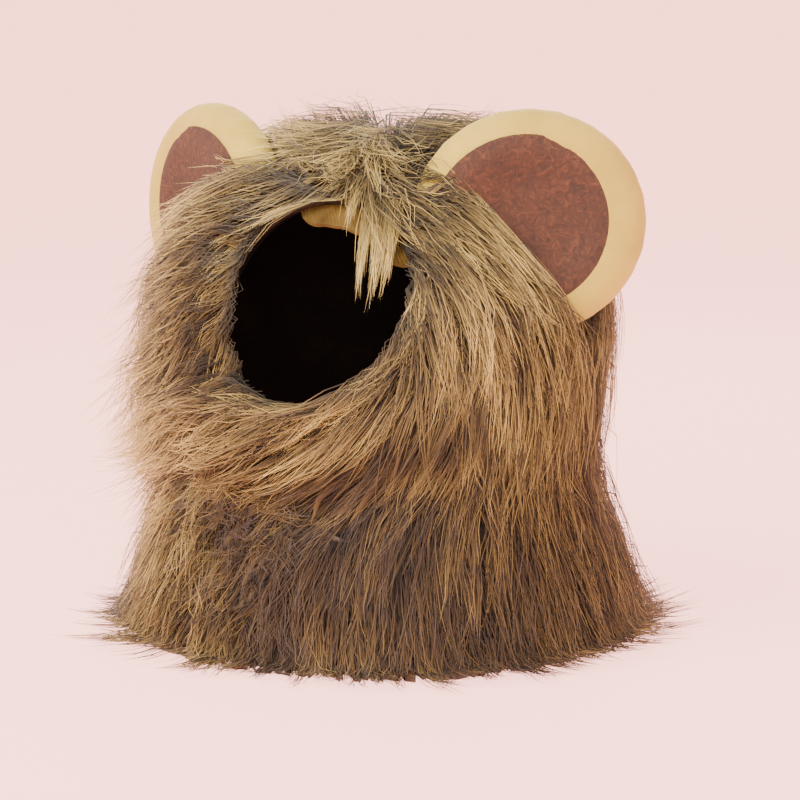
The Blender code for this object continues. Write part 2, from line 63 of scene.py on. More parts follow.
# Where the pile meets the floor it lies outwards: how far and how high for each metre of it,
# and how much further in front (degrees from the front's middle, then shares)
hemForm = {"run": 0.46, "lift": 0.34, "ease": 0.012, "floorGap": 0.0006, "middle": 5,
           "sides": ((40, 75), (1.3, 1.0))}

# How the pile lies: degrees round the hood, height, turn from straight down, length, depth over
# the cloth, height of the tips over it, and how dark the place is (below nought, how pale). The
# darkness is partly the pile's own tone and partly painted light and shade: the lip roll and the
# left side are drawn paler as if lit, the crease under the lip darker as if shaded
groomTable = tableOf([1, 3, 4, 5], [
    # crown
    (-14, 176, -72, 34, 16, 19, 0.15), (38, 176, 62, 38, 16, 18, 0.15),
    (85, 174, 12, 38, 14, 16, 0.1), (-70, 174, -30, 38, 15, 19, 0), (180, 172, 0, 45, 14, 14, 0.2),
    # brow, parted over the opening
    (-18, 166, -72, 40, 14, 18, 0.1), (42, 166, 58, 48, 14, 15, 0.25),
    # left of the opening, swept back and down
    (-48, 150, -44, 52, 18, 28, -0.6), (-52, 120, -42, 52, 24, 46, -0.5),
    (-50, 95, -30, 52, 23, 42, -0.4), (-80, 105, -26, 50, 26, 42, -0.1),
    # right of the opening, down over the ear's foot
    (46, 150, 38, 54, 18, 16, -0.1), (50, 120, 22, 55, 18, 14, -0.2), (55, 90, 10, 55, 16, 13, 0.1),
    (100, 120, 6, 52, 17, 16, 0.6),
    # lip roll under the opening, and the crease below it
    (35, 100, -50, 44, 23, 19, -0.4), (14, 88, -76, 46, 26, 21, -0.8),
    (-10, 81, -80, 42, 25, 21, -0.7), (12, 66, -6, 45, 6, 8, 1.2),
    # front body, with the matted overlap left of the middle
    (0, 40, -4, 48, 14, 13, 1.3), (40, 50, 2, 55, 16, 14, 1.2), (-14, 55, -40, 36, 12, 18, 1.4),
    (-32, 45, 22, 36, 17, 21, -0.3), (-60, 55, -14, 50, 18, 17, -0.9),
    # hem, flared
    (0, 10, 0, 36, 14, 12, 0.7), (45, 16, 2, 40, 15, 14, 1.3), (70, 12, 8, 42, 18, 18, 0.8),
    (115, 14, 16, 50, 20, 28, 0.9), (-60, 12, -12, 42, 18, 21, 0.8),
    (-100, 14, -12, 44, 18, 21, 0.9), (180, 12, 0, 42, 18, 18, 0.6),
    # sides and back
    (100, 60, 4, 52, 18, 16, 0.7), (-110, 60, -4, 50, 18, 18, 0.5), (180, 60, 0, 52, 18, 16, 0.4),
    (150, 120, 0, 52, 18, 16, 0.3), (-150, 120, 0, 52, 18, 16, 0.3)])
groomReach = (20.0, 0.017)

# Small hollows, drawn darker as painted shade: the crease under the lip roll, the pocket and valley
# of the matted overlap. Degrees round, height, reach round, reach up, how much painted shade,
# how much flatter
hollowTable = tableOf([1, 3], [
    (45, 89, 6, 5, 0.9, 0.5), (37, 83, 7, 5, 1.3, 0.6), (28, 77, 7, 5, 1.4, 0.6),
    (18, 70, 7, 5, 1.4, 0.6), (8, 64, 7, 5, 1.2, 0.6), (-19, 44, 6, 8, 1.3, 0.5),
    (-33, 112, 6, 8, 0.9, 0.4), (-1, 24, 4, 10, 0.9, 0.4), (2, 10, 4, 10, 0.9, 0.4),
    (-40, 128, 5, 6, 0.3, 0.3), (-24, 70, 5, 5, 1, 0.4)])

# Where the pile is short and curls every way, left of the middle and over the brow: degrees
# round, height, reach round, reach up, unevenness of turn and of bend, how much shorter, curl
matTable = tableOf([1, 3], [
    (-16, 58, 13, 24, 0.9, 1.3, 0.42, 3), (10, 171, 17, 6, 0.9, 1.4, 0.45, 2.5)])


def linear(hexText):
    values = [int(hexText[k:k + 2], 16) / 255 for k in (1, 3, 5)]
    return tuple(v / 12.92 if v <= 0.04045 else ((v + 0.055) / 1.055) ** 2.4 for v in values) + (1,)


# Sets a node's inputs or properties by name, and its links. A text with # is a colour
def setNode(tree, node, settings, links):
    for key, value in settings.items():
        if key == "ramp":
            for k, (place, colour) in enumerate(value):
                stop = node.color_ramp.elements[k] if k < 2 else node.color_ramp.elements.new(place)
                stop.position = place
                stop.color = linear(colour) if isinstance(colour, str) else colour
        elif isinstance(key, int) or key in node.inputs:
            node.inputs[key].default_value = linear(value) if isinstance(value, str) else value
        else:
            setattr(node, key, value)
    for key, socket in links.items():
        tree.links.new(socket, node.inputs[key])


def addNode(tree, kind, settings={}, links={}):
    node = tree.nodes.new(kind)
    setNode(tree, node, settings, links)
    return node


def startMaterial(name):
    made = bpy.data.materials.new(name)
    made.use_nodes = True
    return made, made.node_tree, made.node_tree.nodes["Principled BSDF"]


# A cloth: its tone drifts between colours, and its nap or weave stands in relief
def makeCloth(name, form):
    made, tree, shader = startMaterial(name)
    place = {"Vector": addNode(tree, "ShaderNodeTexCoord").outputs["Object"]}
    tone = addNode(tree, "ShaderNodeTexNoise", form["tone"], place)
    colour = addNode(tree, "ShaderNodeValToRGB", {"ramp": form["colours"]},
                     {"Fac": tone.outputs["Fac"]}).outputs["Color"]
    if "cloud" in form:  # brushed lighter and darker in patches
        cloud = addNode(tree, "ShaderNodeTexNoise", form["cloud"], place)
        patches = addNode(tree, "ShaderNodeValToRGB", {"ramp": form["cloudTones"]},
                          {"Fac": cloud.outputs["Fac"]})
        colour = addNode(tree, "ShaderNodeMix", {"data_type": "RGBA", "blend_type": "MULTIPLY", 0: 1.0},
                         {6: colour, 7: patches.outputs["Color"]}).outputs[2]
    if "weave" in form:
        slanted = addNode(tree, "ShaderNodeMapping", {"Rotation": form["slant"]}, place)
        fine = addNode(tree, "ShaderNodeTexWave", form["weave"], {"Vector": slanted.outputs["Vector"]})
    else:
        fine = addNode(tree, "ShaderNodeTexNoise", form["nap"], place)
    relief = addNode(tree, "ShaderNodeBump", form["relief"], {"Height": fine.outputs["Fac"]})
    if "soft" in form:  # the pile of the plush is brushed this way and that
        relief = addNode(tree, "ShaderNodeBump", form["soft"],
                         {"Height": tone.outputs["Fac"], "Normal": relief.outputs["Normal"]})
    setNode(tree, shader, form["finish"], {"Base Color": colour, "Normal": relief.outputs["Normal"]})
    return made


# The hood's section at any level between its rows, as a smooth curve through them
def sectionAt(level):
    sections = hoodForm["sections"]
    last = len(sections) - 1
    level = np.clip(level, 0, last - 1e-6)
    row = level.astype(int)
    t = (level - row)[..., None]
    a = sections[np.maximum(row - 1, 0)]
    b = sections[row]
    c = sections[row + 1]
    d = sections[np.minimum(row + 2, last)]
    return 0.5 * (2 * b + (c - a) * t + (2 * a - 5 * b + 4 * c - d) * t * t
                  + (3 * b - a - 3 * c + d) * t ** 3)


fineLevels = np.linspace(0, len(hoodForm["sections"]) - 1, 801)
fineHeights = sectionAt(fineLevels)[:, 0]


def levelOf(height):
    return np.interp(height, fineHeights, fineLevels)


openingCentre = np.array((0, hoodForm["openingMiddle"] - hoodForm["openingInset"],
                          hoodForm["openingHeight"]))
floorLevel = float(levelOf(hoodForm["hemHeight"]))
topLevel = len(hoodForm["sections"]) - hoodForm["topGap"]


def clothPoint(around, level):
    row = sectionAt(level)
    return np.stack((row[..., 1] * np.sin(around), row[..., 3] - row[..., 2] * np.cos(around),
                     row[..., 0]), -1)


def unit(vectors):
    return vectors / np.maximum(np.linalg.norm(vectors, axis=-1, keepdims=True), 1e-9)


# Directions round the hood, up it and out of it, and metres per radian and per level
def clothFrame(around, level):
    small = 0.01
    level = np.clip(level, floorLevel, topLevel)
    sideways = clothPoint(around + small, level) - clothPoint(around - small, level)
    upwards = clothPoint(around, level + small) - clothPoint(around, level - small)
    side = unit(sideways)
    up = unit(upwards - side * np.sum(side * upwards, -1, keepdims=True))
    return (side, up, np.cross(side, up), np.linalg.norm(sideways, axis=-1) / (2 * small),
            np.linalg.norm(upwards, axis=-1) / (2 * small))


# Points over the cloth. Past the hem the pile lies outwards on the floor, by its spread
def pilePoint(around, level, offset, spread):
    base = np.maximum(level, floorLevel)
    side, up, out, sideRate, upRate = clothFrame(around, base)
    points = clothPoint(around, base) + out * offset[..., None]
    past = np.maximum(floorLevel - level, 0) * upRate
    flat = unit(out * np.array((1, 1, 0)))
    sideways = np.abs((np.degrees(around) - hemForm["middle"] + 180) % 360 - 180)
    run = hemForm["run"] * spread * np.interp(sideways, *hemForm["sides"])
    points += flat * (past * run)[..., None]
    onFloor = np.clip(past / hemForm["ease"], 0, 1)
    points[..., 2] += (offset * hemForm["lift"] - points[..., 2]) * onFloor
    points[..., 2] = np.maximum(points[..., 2], hemForm["floorGap"])
    return points


# Turn, length, rise, flare and darkness at a place, blended from the groom's rows
def groomAt(around, height):
    gap = (np.degrees(around)[..., None] - groomTable[:, 0] + 180) % 360 - 180
    far = (gap / groomReach[0]) ** 2 + ((height[..., None] - groomTable[:, 1]) / groomReach[1]) ** 2
    weight = np.exp(-0.5 * far) + 1e-6 / (1 + far)
    weight /= weight.sum(-1, keepdims=True)
    return weight @ groomTable[:, 2:]


# A slow, smooth unevenness over the hood, from -1 to 1
def drift(around, height, seed):
    phase = np.random.default_rng(seed).uniform(0, 2 * math.pi, 8)
    a = np.sin(3 * around + 40 * height + phase[0]) + np.sin(5 * around - 70 * height + phase[1])
    b = np.sin(9 * around + 95 * height + phase[2]) + np.sin(-13 * around + 60 * height + phase[3])
    return (a * 0.6 + b * 0.5) / 2.2


# How near a place is to a table's row, from 0 to 1
def nearness(around, height, row):
    return np.exp(-0.5 * (((np.degrees(around) - row[0]) / row[2]) ** 2
                          + ((height - row[1]) / row[3]) ** 2))


# How dark the pile is drawn at a place: its tone and painted light and shade from the groom,
# painted shade in the hollows, and a slow unevenness of tone
def darkAt(around, height):
    dark = groomAt(around, height)[..., 4] + 0.30 * drift(around, height, 4)
    for spot in hollowTable:
        dark += nearness(around, height, spot) * spot[4]
    return np.clip(dark, -0.8, 2.0)


def inOpening(around, level, margin):
    points = clothPoint(around, level)
    across = points[..., 0] / (hoodForm["openingHalfWidth"] + margin)
    tall = (hoodForm["openingHalfHeight"] + margin) * math.cos(hoodForm["openingLean"])
    upright = (points[..., 2] - hoodForm["openingHeight"]) / tall
    return (points[..., 1] < 0) & (across ** 2 + upright ** 2 < 1)


# The ears, and how the pile keeps clear of them: how far before an ear's middle plane a strand
# is rooted to lie over its face, and the line that the hair keeps to across the right ear
earForm = {
    "radius": 0.0422, "thickness": 0.0200, "stretch": 1.06, "stretchTilt": math.radians(-15),
    "out": 0.0635, "forward": -0.0145, "height": 0.1555, "turn": math.radians(32),
    "voxel": 0.0028, "shrink": 0.965, "pressure": 4.0, "cap": 0.0030, "frames": 20, "fill": 0.8,
    "held": 0.0010, "weld": 0.00002, "patchRadius": 0.0318, "patchShift": 0.0034,
    "clearance": 0.0012, "rootBefore": -0.004, "besideBefore": -0.012, "beside": 0.004,
    "inner": 0.012, "margin": 0.001, "ease": 0.004, "mostSunk": 0.003,
    "hairLine": (0.766, 0.643, -0.0140), "rootPast": 0.003, "tight": 0.0010, "loose": 0.0060,
    "lineReach": 0.03,
    # the dished face: shares of the rim's radius, then of half the thickness
    "dish": ((0, 0.45, 0.80, 1), (0.55, 0.60, 0.88, 1.0)),
}


def earMatrix(side):
    facing = Matrix.Rotation(side * earForm["turn"], 4, "Z") @ Matrix.Rotation(math.pi / 2, 4, "X")
    place = Matrix.Translation((side * earForm["out"], earForm["forward"], earForm["height"]))
    tilt = Matrix.Rotation(-side * earForm["stretchTilt"], 4, "Z")
    stretch = tilt @ Matrix.Diagonal((earForm["stretch"], 1, 1, 1)) @ tilt.inverted()
    return place @ facing @ stretch


# An ear's matrix as an array, and points in the ear's own axes: right, up and out of its face
def inEar(side, points):
    place = np.array(earMatrix(side))
    inverse = np.linalg.inv(place)
    return place, points @ inverse[:3, :3].T + inverse[:3, 3]


def earFaceHeight(radius):
    half = earForm["thickness"] / 2
    rim = earForm["radius"] - half
    dish = np.interp(radius, np.array(earForm["dish"][0]) * rim, earForm["dish"][1]) * half
    round_ = np.sqrt(np.clip(half ** 2 - np.clip(radius - rim, 0, half) ** 2, 0, None))
    return np.where(radius < rim, dish, round_)


# Moves strands that would pass through an ear out onto its face, where they are rooted before
# it, or onto its back. Says which strands to keep: those that would move far are left out
def clearOfEars(points, loose):
    shown = np.ones(len(points), dtype=bool)
    for side in (-1, 1):
        place, local = inEar(side, points)
        radius = np.hypot(local[..., 0], local[..., 1])
        room = earFaceHeight(radius) + earForm["clearance"]
        before = (local[:, :1, 2] > earForm["rootBefore"]) | (
            (radius[:, :1] > earForm["radius"] + earForm["beside"])
            & (local[:, :1, 2] > earForm["besideBefore"]))
        before &= side * local[:, :1, 0] < earForm["inner"]
        if side > 0:
            lineX, lineY, base = earForm["hairLine"]
            reach = earForm["lineReach"]
            past = local[..., 0] * lineX + local[..., 1] * lineY - base
            shown &= (past[:, 0] < earForm["rootPast"]) | ~before[:, 0] | (local[:, 0, 2] > reach)
            over = np.clip(past - earForm["tight"] - earForm["loose"] * loose, 0, reach)
            over = over * (before & (local[..., 2] < reach))
            local[..., 0] -= over * lineX
            local[..., 1] -= over * lineY
            radius = np.hypot(local[..., 0], local[..., 1])
        outline = earForm["radius"] + earForm["margin"]
        inside = radius < outline
        edge = np.clip((outline - radius) / earForm["ease"], 0, 1)
        lifted = local[..., 2] + (np.maximum(local[..., 2], room) - local[..., 2]) * edge
        sunk = np.minimum(local[..., 2], -room)
        shown &= ~(inside & ~before & (local[..., 2] - sunk > earForm["mostSunk"])).any(1)
        local[..., 2] = np.where(inside & before, lifted, local[..., 2])
        local[..., 2] = np.where(inside & ~before, sunk, local[..., 2])
        points = local @ place[:3, :3].T + place[:3, 3]
    return points, shown


# How far strands may hang in over the opening: clock round it, share of its radius
hangTable = ((-180, -140, -100, -60, 10, 60, 100, 180),
             (0.05, 0.08, 0.22, 0.14, 0.02, 0.06, 0.10, 0.05))
hangForm = {"front": -0.03, "cutFrom": 0.72, "least": 0.2, "share": (0.6, 0.8)}


# Draws strands back to the edge of the face opening, and says which are left out as too far in
def clearOfOpening(points, share):
    across = points[..., 0] / hoodForm["openingHalfWidth"]
    tall = hoodForm["openingHalfHeight"] * math.cos(hoodForm["openingLean"])
    upright = (points[..., 2] - hoodForm["openingHeight"]) / tall
    radius = np.hypot(across, upright)
    clock = np.degrees(np.arctan2(across, upright))
    allowed = 1 - share * np.interp(clock, *hangTable)
    inside = (points[..., 1] < hangForm["front"]) & (radius < allowed)
    shown = ~(inside & (radius < hangForm["cutFrom"] * allowed)).any(1)
    factor = np.where(inside, allowed / np.maximum(radius, hangForm["least"]), 1.0)
    moved = points.copy()
    moved[..., 0] *= factor
    moved[..., 2] = hoodForm["openingHeight"] + (points[..., 2] - hoodForm["openingHeight"]) * factor
    return moved, shown


print("camera and studio")
cameraForm = {"distance": 1.000, "azimuth": 25.0, "height": 0.236, "tilt": 8.56, "lens": 121.5,
              "sensor": 36, "shift": 0.0056}
azimuth = math.radians(cameraForm["azimuth"])
toRight = Vector((math.cos(azimuth), math.sin(azimuth), 0)) * cameraForm["shift"]
bpy.ops.object.select_all(action="DESELECT")
bpy.ops.object.camera_add(
    location=Vector((math.sin(azimuth), -math.cos(azimuth), 0)) * cameraForm["distance"]
    + Vector((0, 0, cameraForm["height"])) + toRight,
    rotation=(math.radians(90 - cameraForm["tilt"]), 0, azimuth))
camera = bpy.context.object
camera.name = "camera"
camera.data.lens = cameraForm["lens"]
camera.data.sensor_width = cameraForm["sensor"]
bpy.context.scene.camera = camera

studioForm = {
    # name: azimuth, elevation, distance, size, power
    "key": (-22, 46, 0.95, 0.60, 32.0),
    "fill": (70, 26, 1.10, 0.80, 12.0),
    "front": (20, 14, 1.30, 0.80, 20.0),
    "rim": (195, 34, 1.00, 0.70, 13.0),
}
lampForm = {"aimHeight": 0.09, "colour": (1.0, 1.0, 0.92), "air": "#fdeee6", "airStrength": 0.15}
for name, (around, up, distance, size, power) in studioForm.items():
    a, e = math.radians(around), math.radians(up)
    aim = Vector((math.sin(a) * math.cos(e), -math.cos(a) * math.cos(e), math.sin(e)))
    bpy.ops.object.light_add(type="AREA",
                             location=aim * distance + Vector((0, 0, lampForm["aimHeight"])))
    lamp = bpy.context.object
    lamp.name = name + "_light"
    lamp.data.size = size
    lamp.data.energy = power
    lamp.data.color = lampForm["colour"]
    lamp.rotation_euler = aim.to_track_quat("Z", "Y").to_euler()

world = bpy.data.worlds.new("studio_air")
bpy.context.scene.world = world
world.use_nodes = True
setNode(world.node_tree, world.node_tree.nodes["Background"],
        {"Color": lampForm["air"], "Strength": lampForm["airStrength"]}, {})

# A round sweep of background paper: flat under the hat and curving up all round, far off.
# Its rings are radius and height
sweepForm = {"radius": 2.4, "inset": 0.3, "rings": ((2.9, 0.06), (3.3, 0.30), (3.5, 0.75), (3.5, 2.6))}
bpy.ops.mesh.primitive_circle_add(vertices=96, radius=sweepForm["radius"], fill_type="NGON")
floor = bpy.context.object
floor.name = "floor"
bpy.ops.object.mode_set(mode="EDIT")
reach, height = sweepForm["radius"], 0.0
bpy.ops.mesh.select_all(action="SELECT")
bpy.ops.mesh.inset(thickness=sweepForm["inset"])
bpy.ops.mesh.select_all(action="DESELECT")
bpy.ops.mesh.select_non_manifold()
for nextReach, nextHeight in sweepForm["rings"]:
    bpy.ops.mesh.extrude_region_move(TRANSFORM_OT_translate={"value": (0, 0, nextHeight - height)})
    bpy.ops.transform.resize(value=(nextReach / reach, nextReach / reach, 1),
                             center_override=(0, 0, nextHeight))
    reach, height = nextReach, nextHeight
bpy.ops.mesh.select_all(action="SELECT")
bpy.ops.mesh.normals_make_consistent(inside=True)
bpy.ops.object.mode_set(mode="OBJECT")
bpy.ops.object.shade_smooth()
# Matt background paper, lit all over so that no edge of it shows
paper, tree, shader = startMaterial("pale_backdrop_paper")
setNode(tree, shader, {"Base Color": "#8a6a66", "Roughness": 0.95, "Emission Color": "#ffb2a6",
                       "Emission Strength": 3.9}, {})
floor.data.materials.append(paper)


def deselect():
    if bpy.context.object and bpy.context.object.mode != "OBJECT":
        bpy.ops.object.mode_set(mode="OBJECT")
    bpy.ops.object.select_all(action="DESELECT")


def choose(obj):
    deselect()
    obj.select_set(True)
    bpy.context.view_layer.objects.active = obj


# Adds a modifier with its settings and applies it
def shapeWith(obj, kind, **settings):
    modifier = obj.modifiers.new(kind.lower(), kind)
    for key, value in settings.items():
        setattr(modifier, key, value)
    choose(obj)
    bpy.ops.object.modifier_apply(modifier=modifier.name)


def faceOutwards(obj):
    choose(obj)
    bpy.ops.object.mode_set(mode="EDIT")
    bpy.ops.mesh.select_all(action="SELECT")
    bpy.ops.mesh.normals_make_consistent(inside=False)
    bpy.ops.object.mode_set(mode="OBJECT")


# Draws the hood up ring by ring as an open shell, closed at the crown
def liftHood(name, inset, startHeight):
    deselect()
    top = len(hoodForm["sections"]) - hoodForm["crownGap"]
    levels = np.linspace(float(levelOf(startHeight)), top, hoodForm["rows"])
    heights, widths, depths, middles = sectionAt(levels).T
    widths = widths - inset
    depths = depths - inset
    heights = heights - inset * np.clip((heights - hoodForm["domeFrom"]) / hoodForm["domeHeight"], 0, 1)
    bpy.ops.mesh.primitive_circle_add(vertices=hoodForm["sides"], radius=1,
                                      location=(0, middles[0], heights[0]))
    hood = bpy.context.object
    hood.name = name
    bpy.ops.object.transform_apply(location=True, rotation=False, scale=False)
    bpy.ops.object.mode_set(mode="EDIT")
    bpy.ops.transform.resize(value=(widths[0], depths[0], 1),
                             center_override=(0, middles[0], heights[0]))
    for k in range(1, hoodForm["rows"]):
        rise = (0, middles[k] - middles[k - 1], heights[k] - heights[k - 1])
        bpy.ops.mesh.extrude_region_move(TRANSFORM_OT_translate={"value": rise})
        bpy.ops.transform.resize(value=(widths[k] / widths[k - 1], depths[k] / depths[k - 1], 1),
                                 center_override=(0, middles[k], heights[k]))
    bpy.ops.mesh.edge_face_add()
    bpy.ops.mesh.poke()
    faceOutwards(hood)
    return hood


def cutOpening(hood, margin):
    deselect()
    bpy.ops.mesh.primitive_cylinder_add(
        vertices=64, radius=1, depth=0.070,
        location=(0, hoodForm["openingMiddle"], hoodForm["openingHeight"]),
        rotation=(math.pi / 2 - hoodForm["openingLean"], 0, 0))
    drum = bpy.context.object
    drum.scale = (hoodForm["openingHalfWidth"] + margin, hoodForm["openingHalfHeight"] + margin, 1)
    shapeWith(hood, "BOOLEAN", operation="DIFFERENCE", solver="EXACT", object=drum)
    bpy.data.objects.remove(drum)


def finishPiece(obj, slotName, material, *nodes):
    choose(obj)
    bpy.ops.object.transform_apply(location=True, rotation=True, scale=True)
    obj.data.materials.clear()
    obj.data.materials.append(material)
    bpy.ops.object.shade_smooth_by_angle(angle=math.radians(60))
    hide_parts(*nodes)
    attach(obj, "root")


print("backing and lining")
# Acrylic knit that the pile is set in: matt, with a fine grain. Its dark brown is painted shade
# deep between the fibres
backingKnit = makeCloth("acrylic_pile_knit", {
    "tone": {"Scale": 140.0, "Detail": 2.0}, "colours": [(0.3, "#1a120a"), (0.7, "#33261a")],
    "nap": {"Scale": 900.0, "Detail": 3.0}, "relief": {"Strength": 0.8, "Distance": 0.0008},
    "finish": {"Roughness": 0.95, "Specular IOR Level": 0.1}})
backing = liftHood("hood_backing", 0.0, hoodForm["backingStart"])
shapeWith(backing, "SOLIDIFY", thickness=hoodForm["backing"], offset=-1)
cutOpening(backing, 0.0)
finishPiece(backing, "fur", backingKnit, "fur_hood")

# Brushed polyester lining with a dull nap and light folds. Its near-black colour is painted shade
# of the hood's inside
liningCloth = makeCloth("brushed_polyester_lining", {
    "tone": {"Scale": 60.0, "Detail": 3.0}, "colours": [(0.3, "#040302"), (0.75, "#0a0604")],
    "nap": {"Scale": 1400.0, "Detail": 4.0}, "relief": {"Strength": 0.5, "Distance": 0.0004},
    "finish": {"Roughness": 0.95, "Specular IOR Level": 0.08}})
lining = liftHood("hood_lining", hoodForm["liningInset"], hoodForm["liningStart"])
clouds = bpy.data.textures.new("lining_folds", "CLOUDS")
clouds.noise_scale = hoodForm["foldSize"]
shapeWith(lining, "DISPLACE", texture=clouds, strength=hoodForm["folds"], mid_level=0.85)
shapeWith(lining, "SOLIDIFY", thickness=hoodForm["lining"], offset=-1)
cutOpening(lining, hoodForm["liningMargin"])
finishPiece(lining, "lining", liningCloth, "lining")


print("brow band")
# Angles are round the opening from its top. The ends are rounded, and the free edge rolls in
bandForm = {"start": math.radians(-24), "end": math.radians(66), "inner": 0.0290, "outer": 0.0425,
            "inset": 0.0028, "thickness": 0.0013, "steps": 40, "rows": 8, "roll": 0.0011,
            "endRound": 0.85, "rollWidth": 0.5, "ripple": 0.0003, "ripples": 23}
# Woven cotton: its twill is drawn about 1 mm apart, coarser than life, so that it shows. The tan
# cloth is coloured dark olive, as painted shade under the hair that hangs over it
bandCloth = makeCloth("cotton_twill_band", {
    "tone": {"Scale": 90.0, "Detail": 4.0}, "colours": [(0.3, "#3c3010"), (0.7, "#57471c")],
    "weave": {"Scale": 320.0, "Distortion": 1.5, "Detail": 2.0}, "slant": (0.0, 0.6, 0.0),
    "relief": {"Strength": 0.5, "Distance": 0.0003},
    "finish": {"Roughness": 0.9, "Specular IOR Level": 0.2}})
deselect()
bpy.ops.mesh.primitive_grid_add(x_subdivisions=bandForm["steps"], y_subdivisions=bandForm["rows"],
                                size=2)
band = bpy.context.object
band.name = "brow_band_cloth"
flat = np.array([v.co for v in band.data.vertices])
angle = bandForm["start"] + (bandForm["end"] - bandForm["start"]) * (flat[:, 0] + 1) / 2
ends = 1 - np.sqrt(np.clip(1 - np.abs(flat[:, 0]) ** 6, 0, 1))
inner = bandForm["inner"] + (bandForm["outer"] - bandForm["inner"]) * bandForm["endRound"] * ends
radius = inner + (bandForm["outer"] - inner) * (flat[:, 1] + 1) / 2
height = hoodForm["openingHeight"] + radius * np.cos(angle) * math.cos(hoodForm["openingLean"])
level = levelOf(height)
around = np.arcsin(np.clip(radius * np.sin(angle) / sectionAt(level)[:, 1], -1, 1))
out = clothFrame(around, level)[2]
roll = np.clip(1 - (flat[:, 1] + 1) / bandForm["rollWidth"], 0, 1) ** 2 * bandForm["roll"]
depth = bandForm["inset"] - roll * 0.5 + bandForm["ripple"] * np.sin(angle * bandForm["ripples"])
placed = clothPoint(around, level) - out * depth[:, None]
for vertex, spot in zip(band.data.vertices, placed):
    vertex.co = spot
shapeWith(band, "SOLIDIFY", thickness=bandForm["thickness"], offset=-1)
faceOutwards(band)
finishPiece(band, "band", bandCloth, "brow_band")


print("ears")
# Polyester crystal plush, 2 mm nap: soft, matt, with a pale edge where the nap turns away
earPlush = makeCloth("polyester_short_plush", {
    "tone": {"Scale": 45.0, "Detail": 4.0, "Distortion": 0.6},
    "colours": [(0.25, "#7e701e"), (0.75, "#96862b")],
    "nap": {"Scale": 1500.0, "Detail": 3.0}, "relief": {"Strength": 0.35, "Distance": 0.0005},
    "soft": {"Strength": 0.25, "Distance": 0.0015},
    "finish": {"Roughness": 0.9, "Sheen Weight": 0.18, "Sheen Roughness": 0.6,
               "Sheen Tint": "#ffe29a"}})


def verticesOf(mesh):
    places = np.empty(len(mesh.vertices) * 3)
    mesh.vertices.foreach_get("co", places)
    return places.reshape(-1, 3)


# The CAD ear's form as a skin, shrunk a little and stuffed by a cloth simulation. The part under
# the fleece patch is stitched down and stays
def stuffEar(side, word):
    ear = bpy.data.objects.new("ear_" + word + "_plush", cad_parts["ear_" + word].data.copy())
    bpy.context.scene.collection.objects.link(ear)
    choose(ear)
    bpy.ops.object.mode_set(mode="EDIT")
    bpy.ops.mesh.select_all(action="SELECT")
    bpy.ops.mesh.remove_doubles(threshold=earForm["weld"])
    bpy.ops.object.mode_set(mode="OBJECT")
    shapeWith(ear, "REMESH", mode="VOXEL", voxel_size=earForm["voxel"])
    place, local = inEar(side, verticesOf(ear.data))
    radius = np.hypot(local[:, 0] + side * earForm["patchShift"], local[:, 1])
    held = (local[:, 2] > 0) & (radius < earForm["patchRadius"] + earForm["held"])
    local[:, :2] *= earForm["shrink"]
    local[:, 2] *= np.where(held, 1.0, earForm["shrink"])
    start = local @ place[:3, :3].T + place[:3, 3]
    ear.data.vertices.foreach_set("co", start.ravel())
    ear.data.update()
    stitched = ear.vertex_groups.new(name="stitched")
    stitched.add([int(k) for k in np.nonzero(held)[0]], 1.0, "REPLACE")
    stuffing = ear.modifiers.new("stuffing", "CLOTH")
    stuffing.settings.use_pressure = True
    stuffing.settings.uniform_pressure_force = earForm["pressure"]
    stuffing.settings.effector_weights.gravity = 0
    stuffing.settings.vertex_group_mass = "stitched"
    stuffing.point_cache.frame_start = 1
    stuffing.point_cache.frame_end = earForm["frames"]
    for number in range(1, earForm["frames"] + 1):
        bpy.context.scene.frame_set(number)
    swollen = ear.evaluated_get(bpy.context.evaluated_depsgraph_get())
    move = verticesOf(swollen.to_mesh()) - start
    swollen.to_mesh_clear()
    size = np.linalg.norm(move, axis=1, keepdims=True)
    print("  ear", word, "swells by", round(float(size.max()) * 1000, 2), "mm")
    move *= np.minimum(1, earForm["cap"] / np.maximum(size, 1e-9))
    ear.modifiers.remove(stuffing)
    ear.data.vertices.foreach_set("co", (start + move).ravel())
    ear.data.update()
    bpy.context.scene.frame_set(1)
    ear.vertex_groups.clear()
    shapeWith(ear, "SUBSURF", levels=1, render_levels=1)
    finishPiece(ear, "plush", earPlush, "ear_" + word)


for side, word in ((-1, "left"), (1, "right")):
    stuffEar(side, word)


print("inner ears")
patchForm = {"sides": 48, "rings": 9, "lift": 0.0007, "puff": 0.0010, "tuck": 0.0012,
             "tuckFrom": 0.93, "thickness": 0.0010}
# Brushed polyester fleece: rust brown, fibres swirled in all directions
fleeceSwirl = {"Scale": 260.0, "Detail": 5.0, "Distortion": 2.2}
earFleece = makeCloth("brushed_rust_fleece", {
    "tone": fleeceSwirl, "colours": [(0.25, "#1c0f06"), (0.55, "#361c0b"), (0.85, "#543117")],
    "cloud": {"Scale": 50.0, "Detail": 2.0},
    "cloudTones": [(0.3, (0.72, 0.72, 0.72, 1)), (0.7, (1, 1, 1, 1))],
    "nap": fleeceSwirl, "relief": {"Strength": 0.7, "Distance": 0.0007},
    "finish": {"Roughness": 0.95, "Sheen Weight": 0.08, "Sheen Tint": "#c88a5e"}})


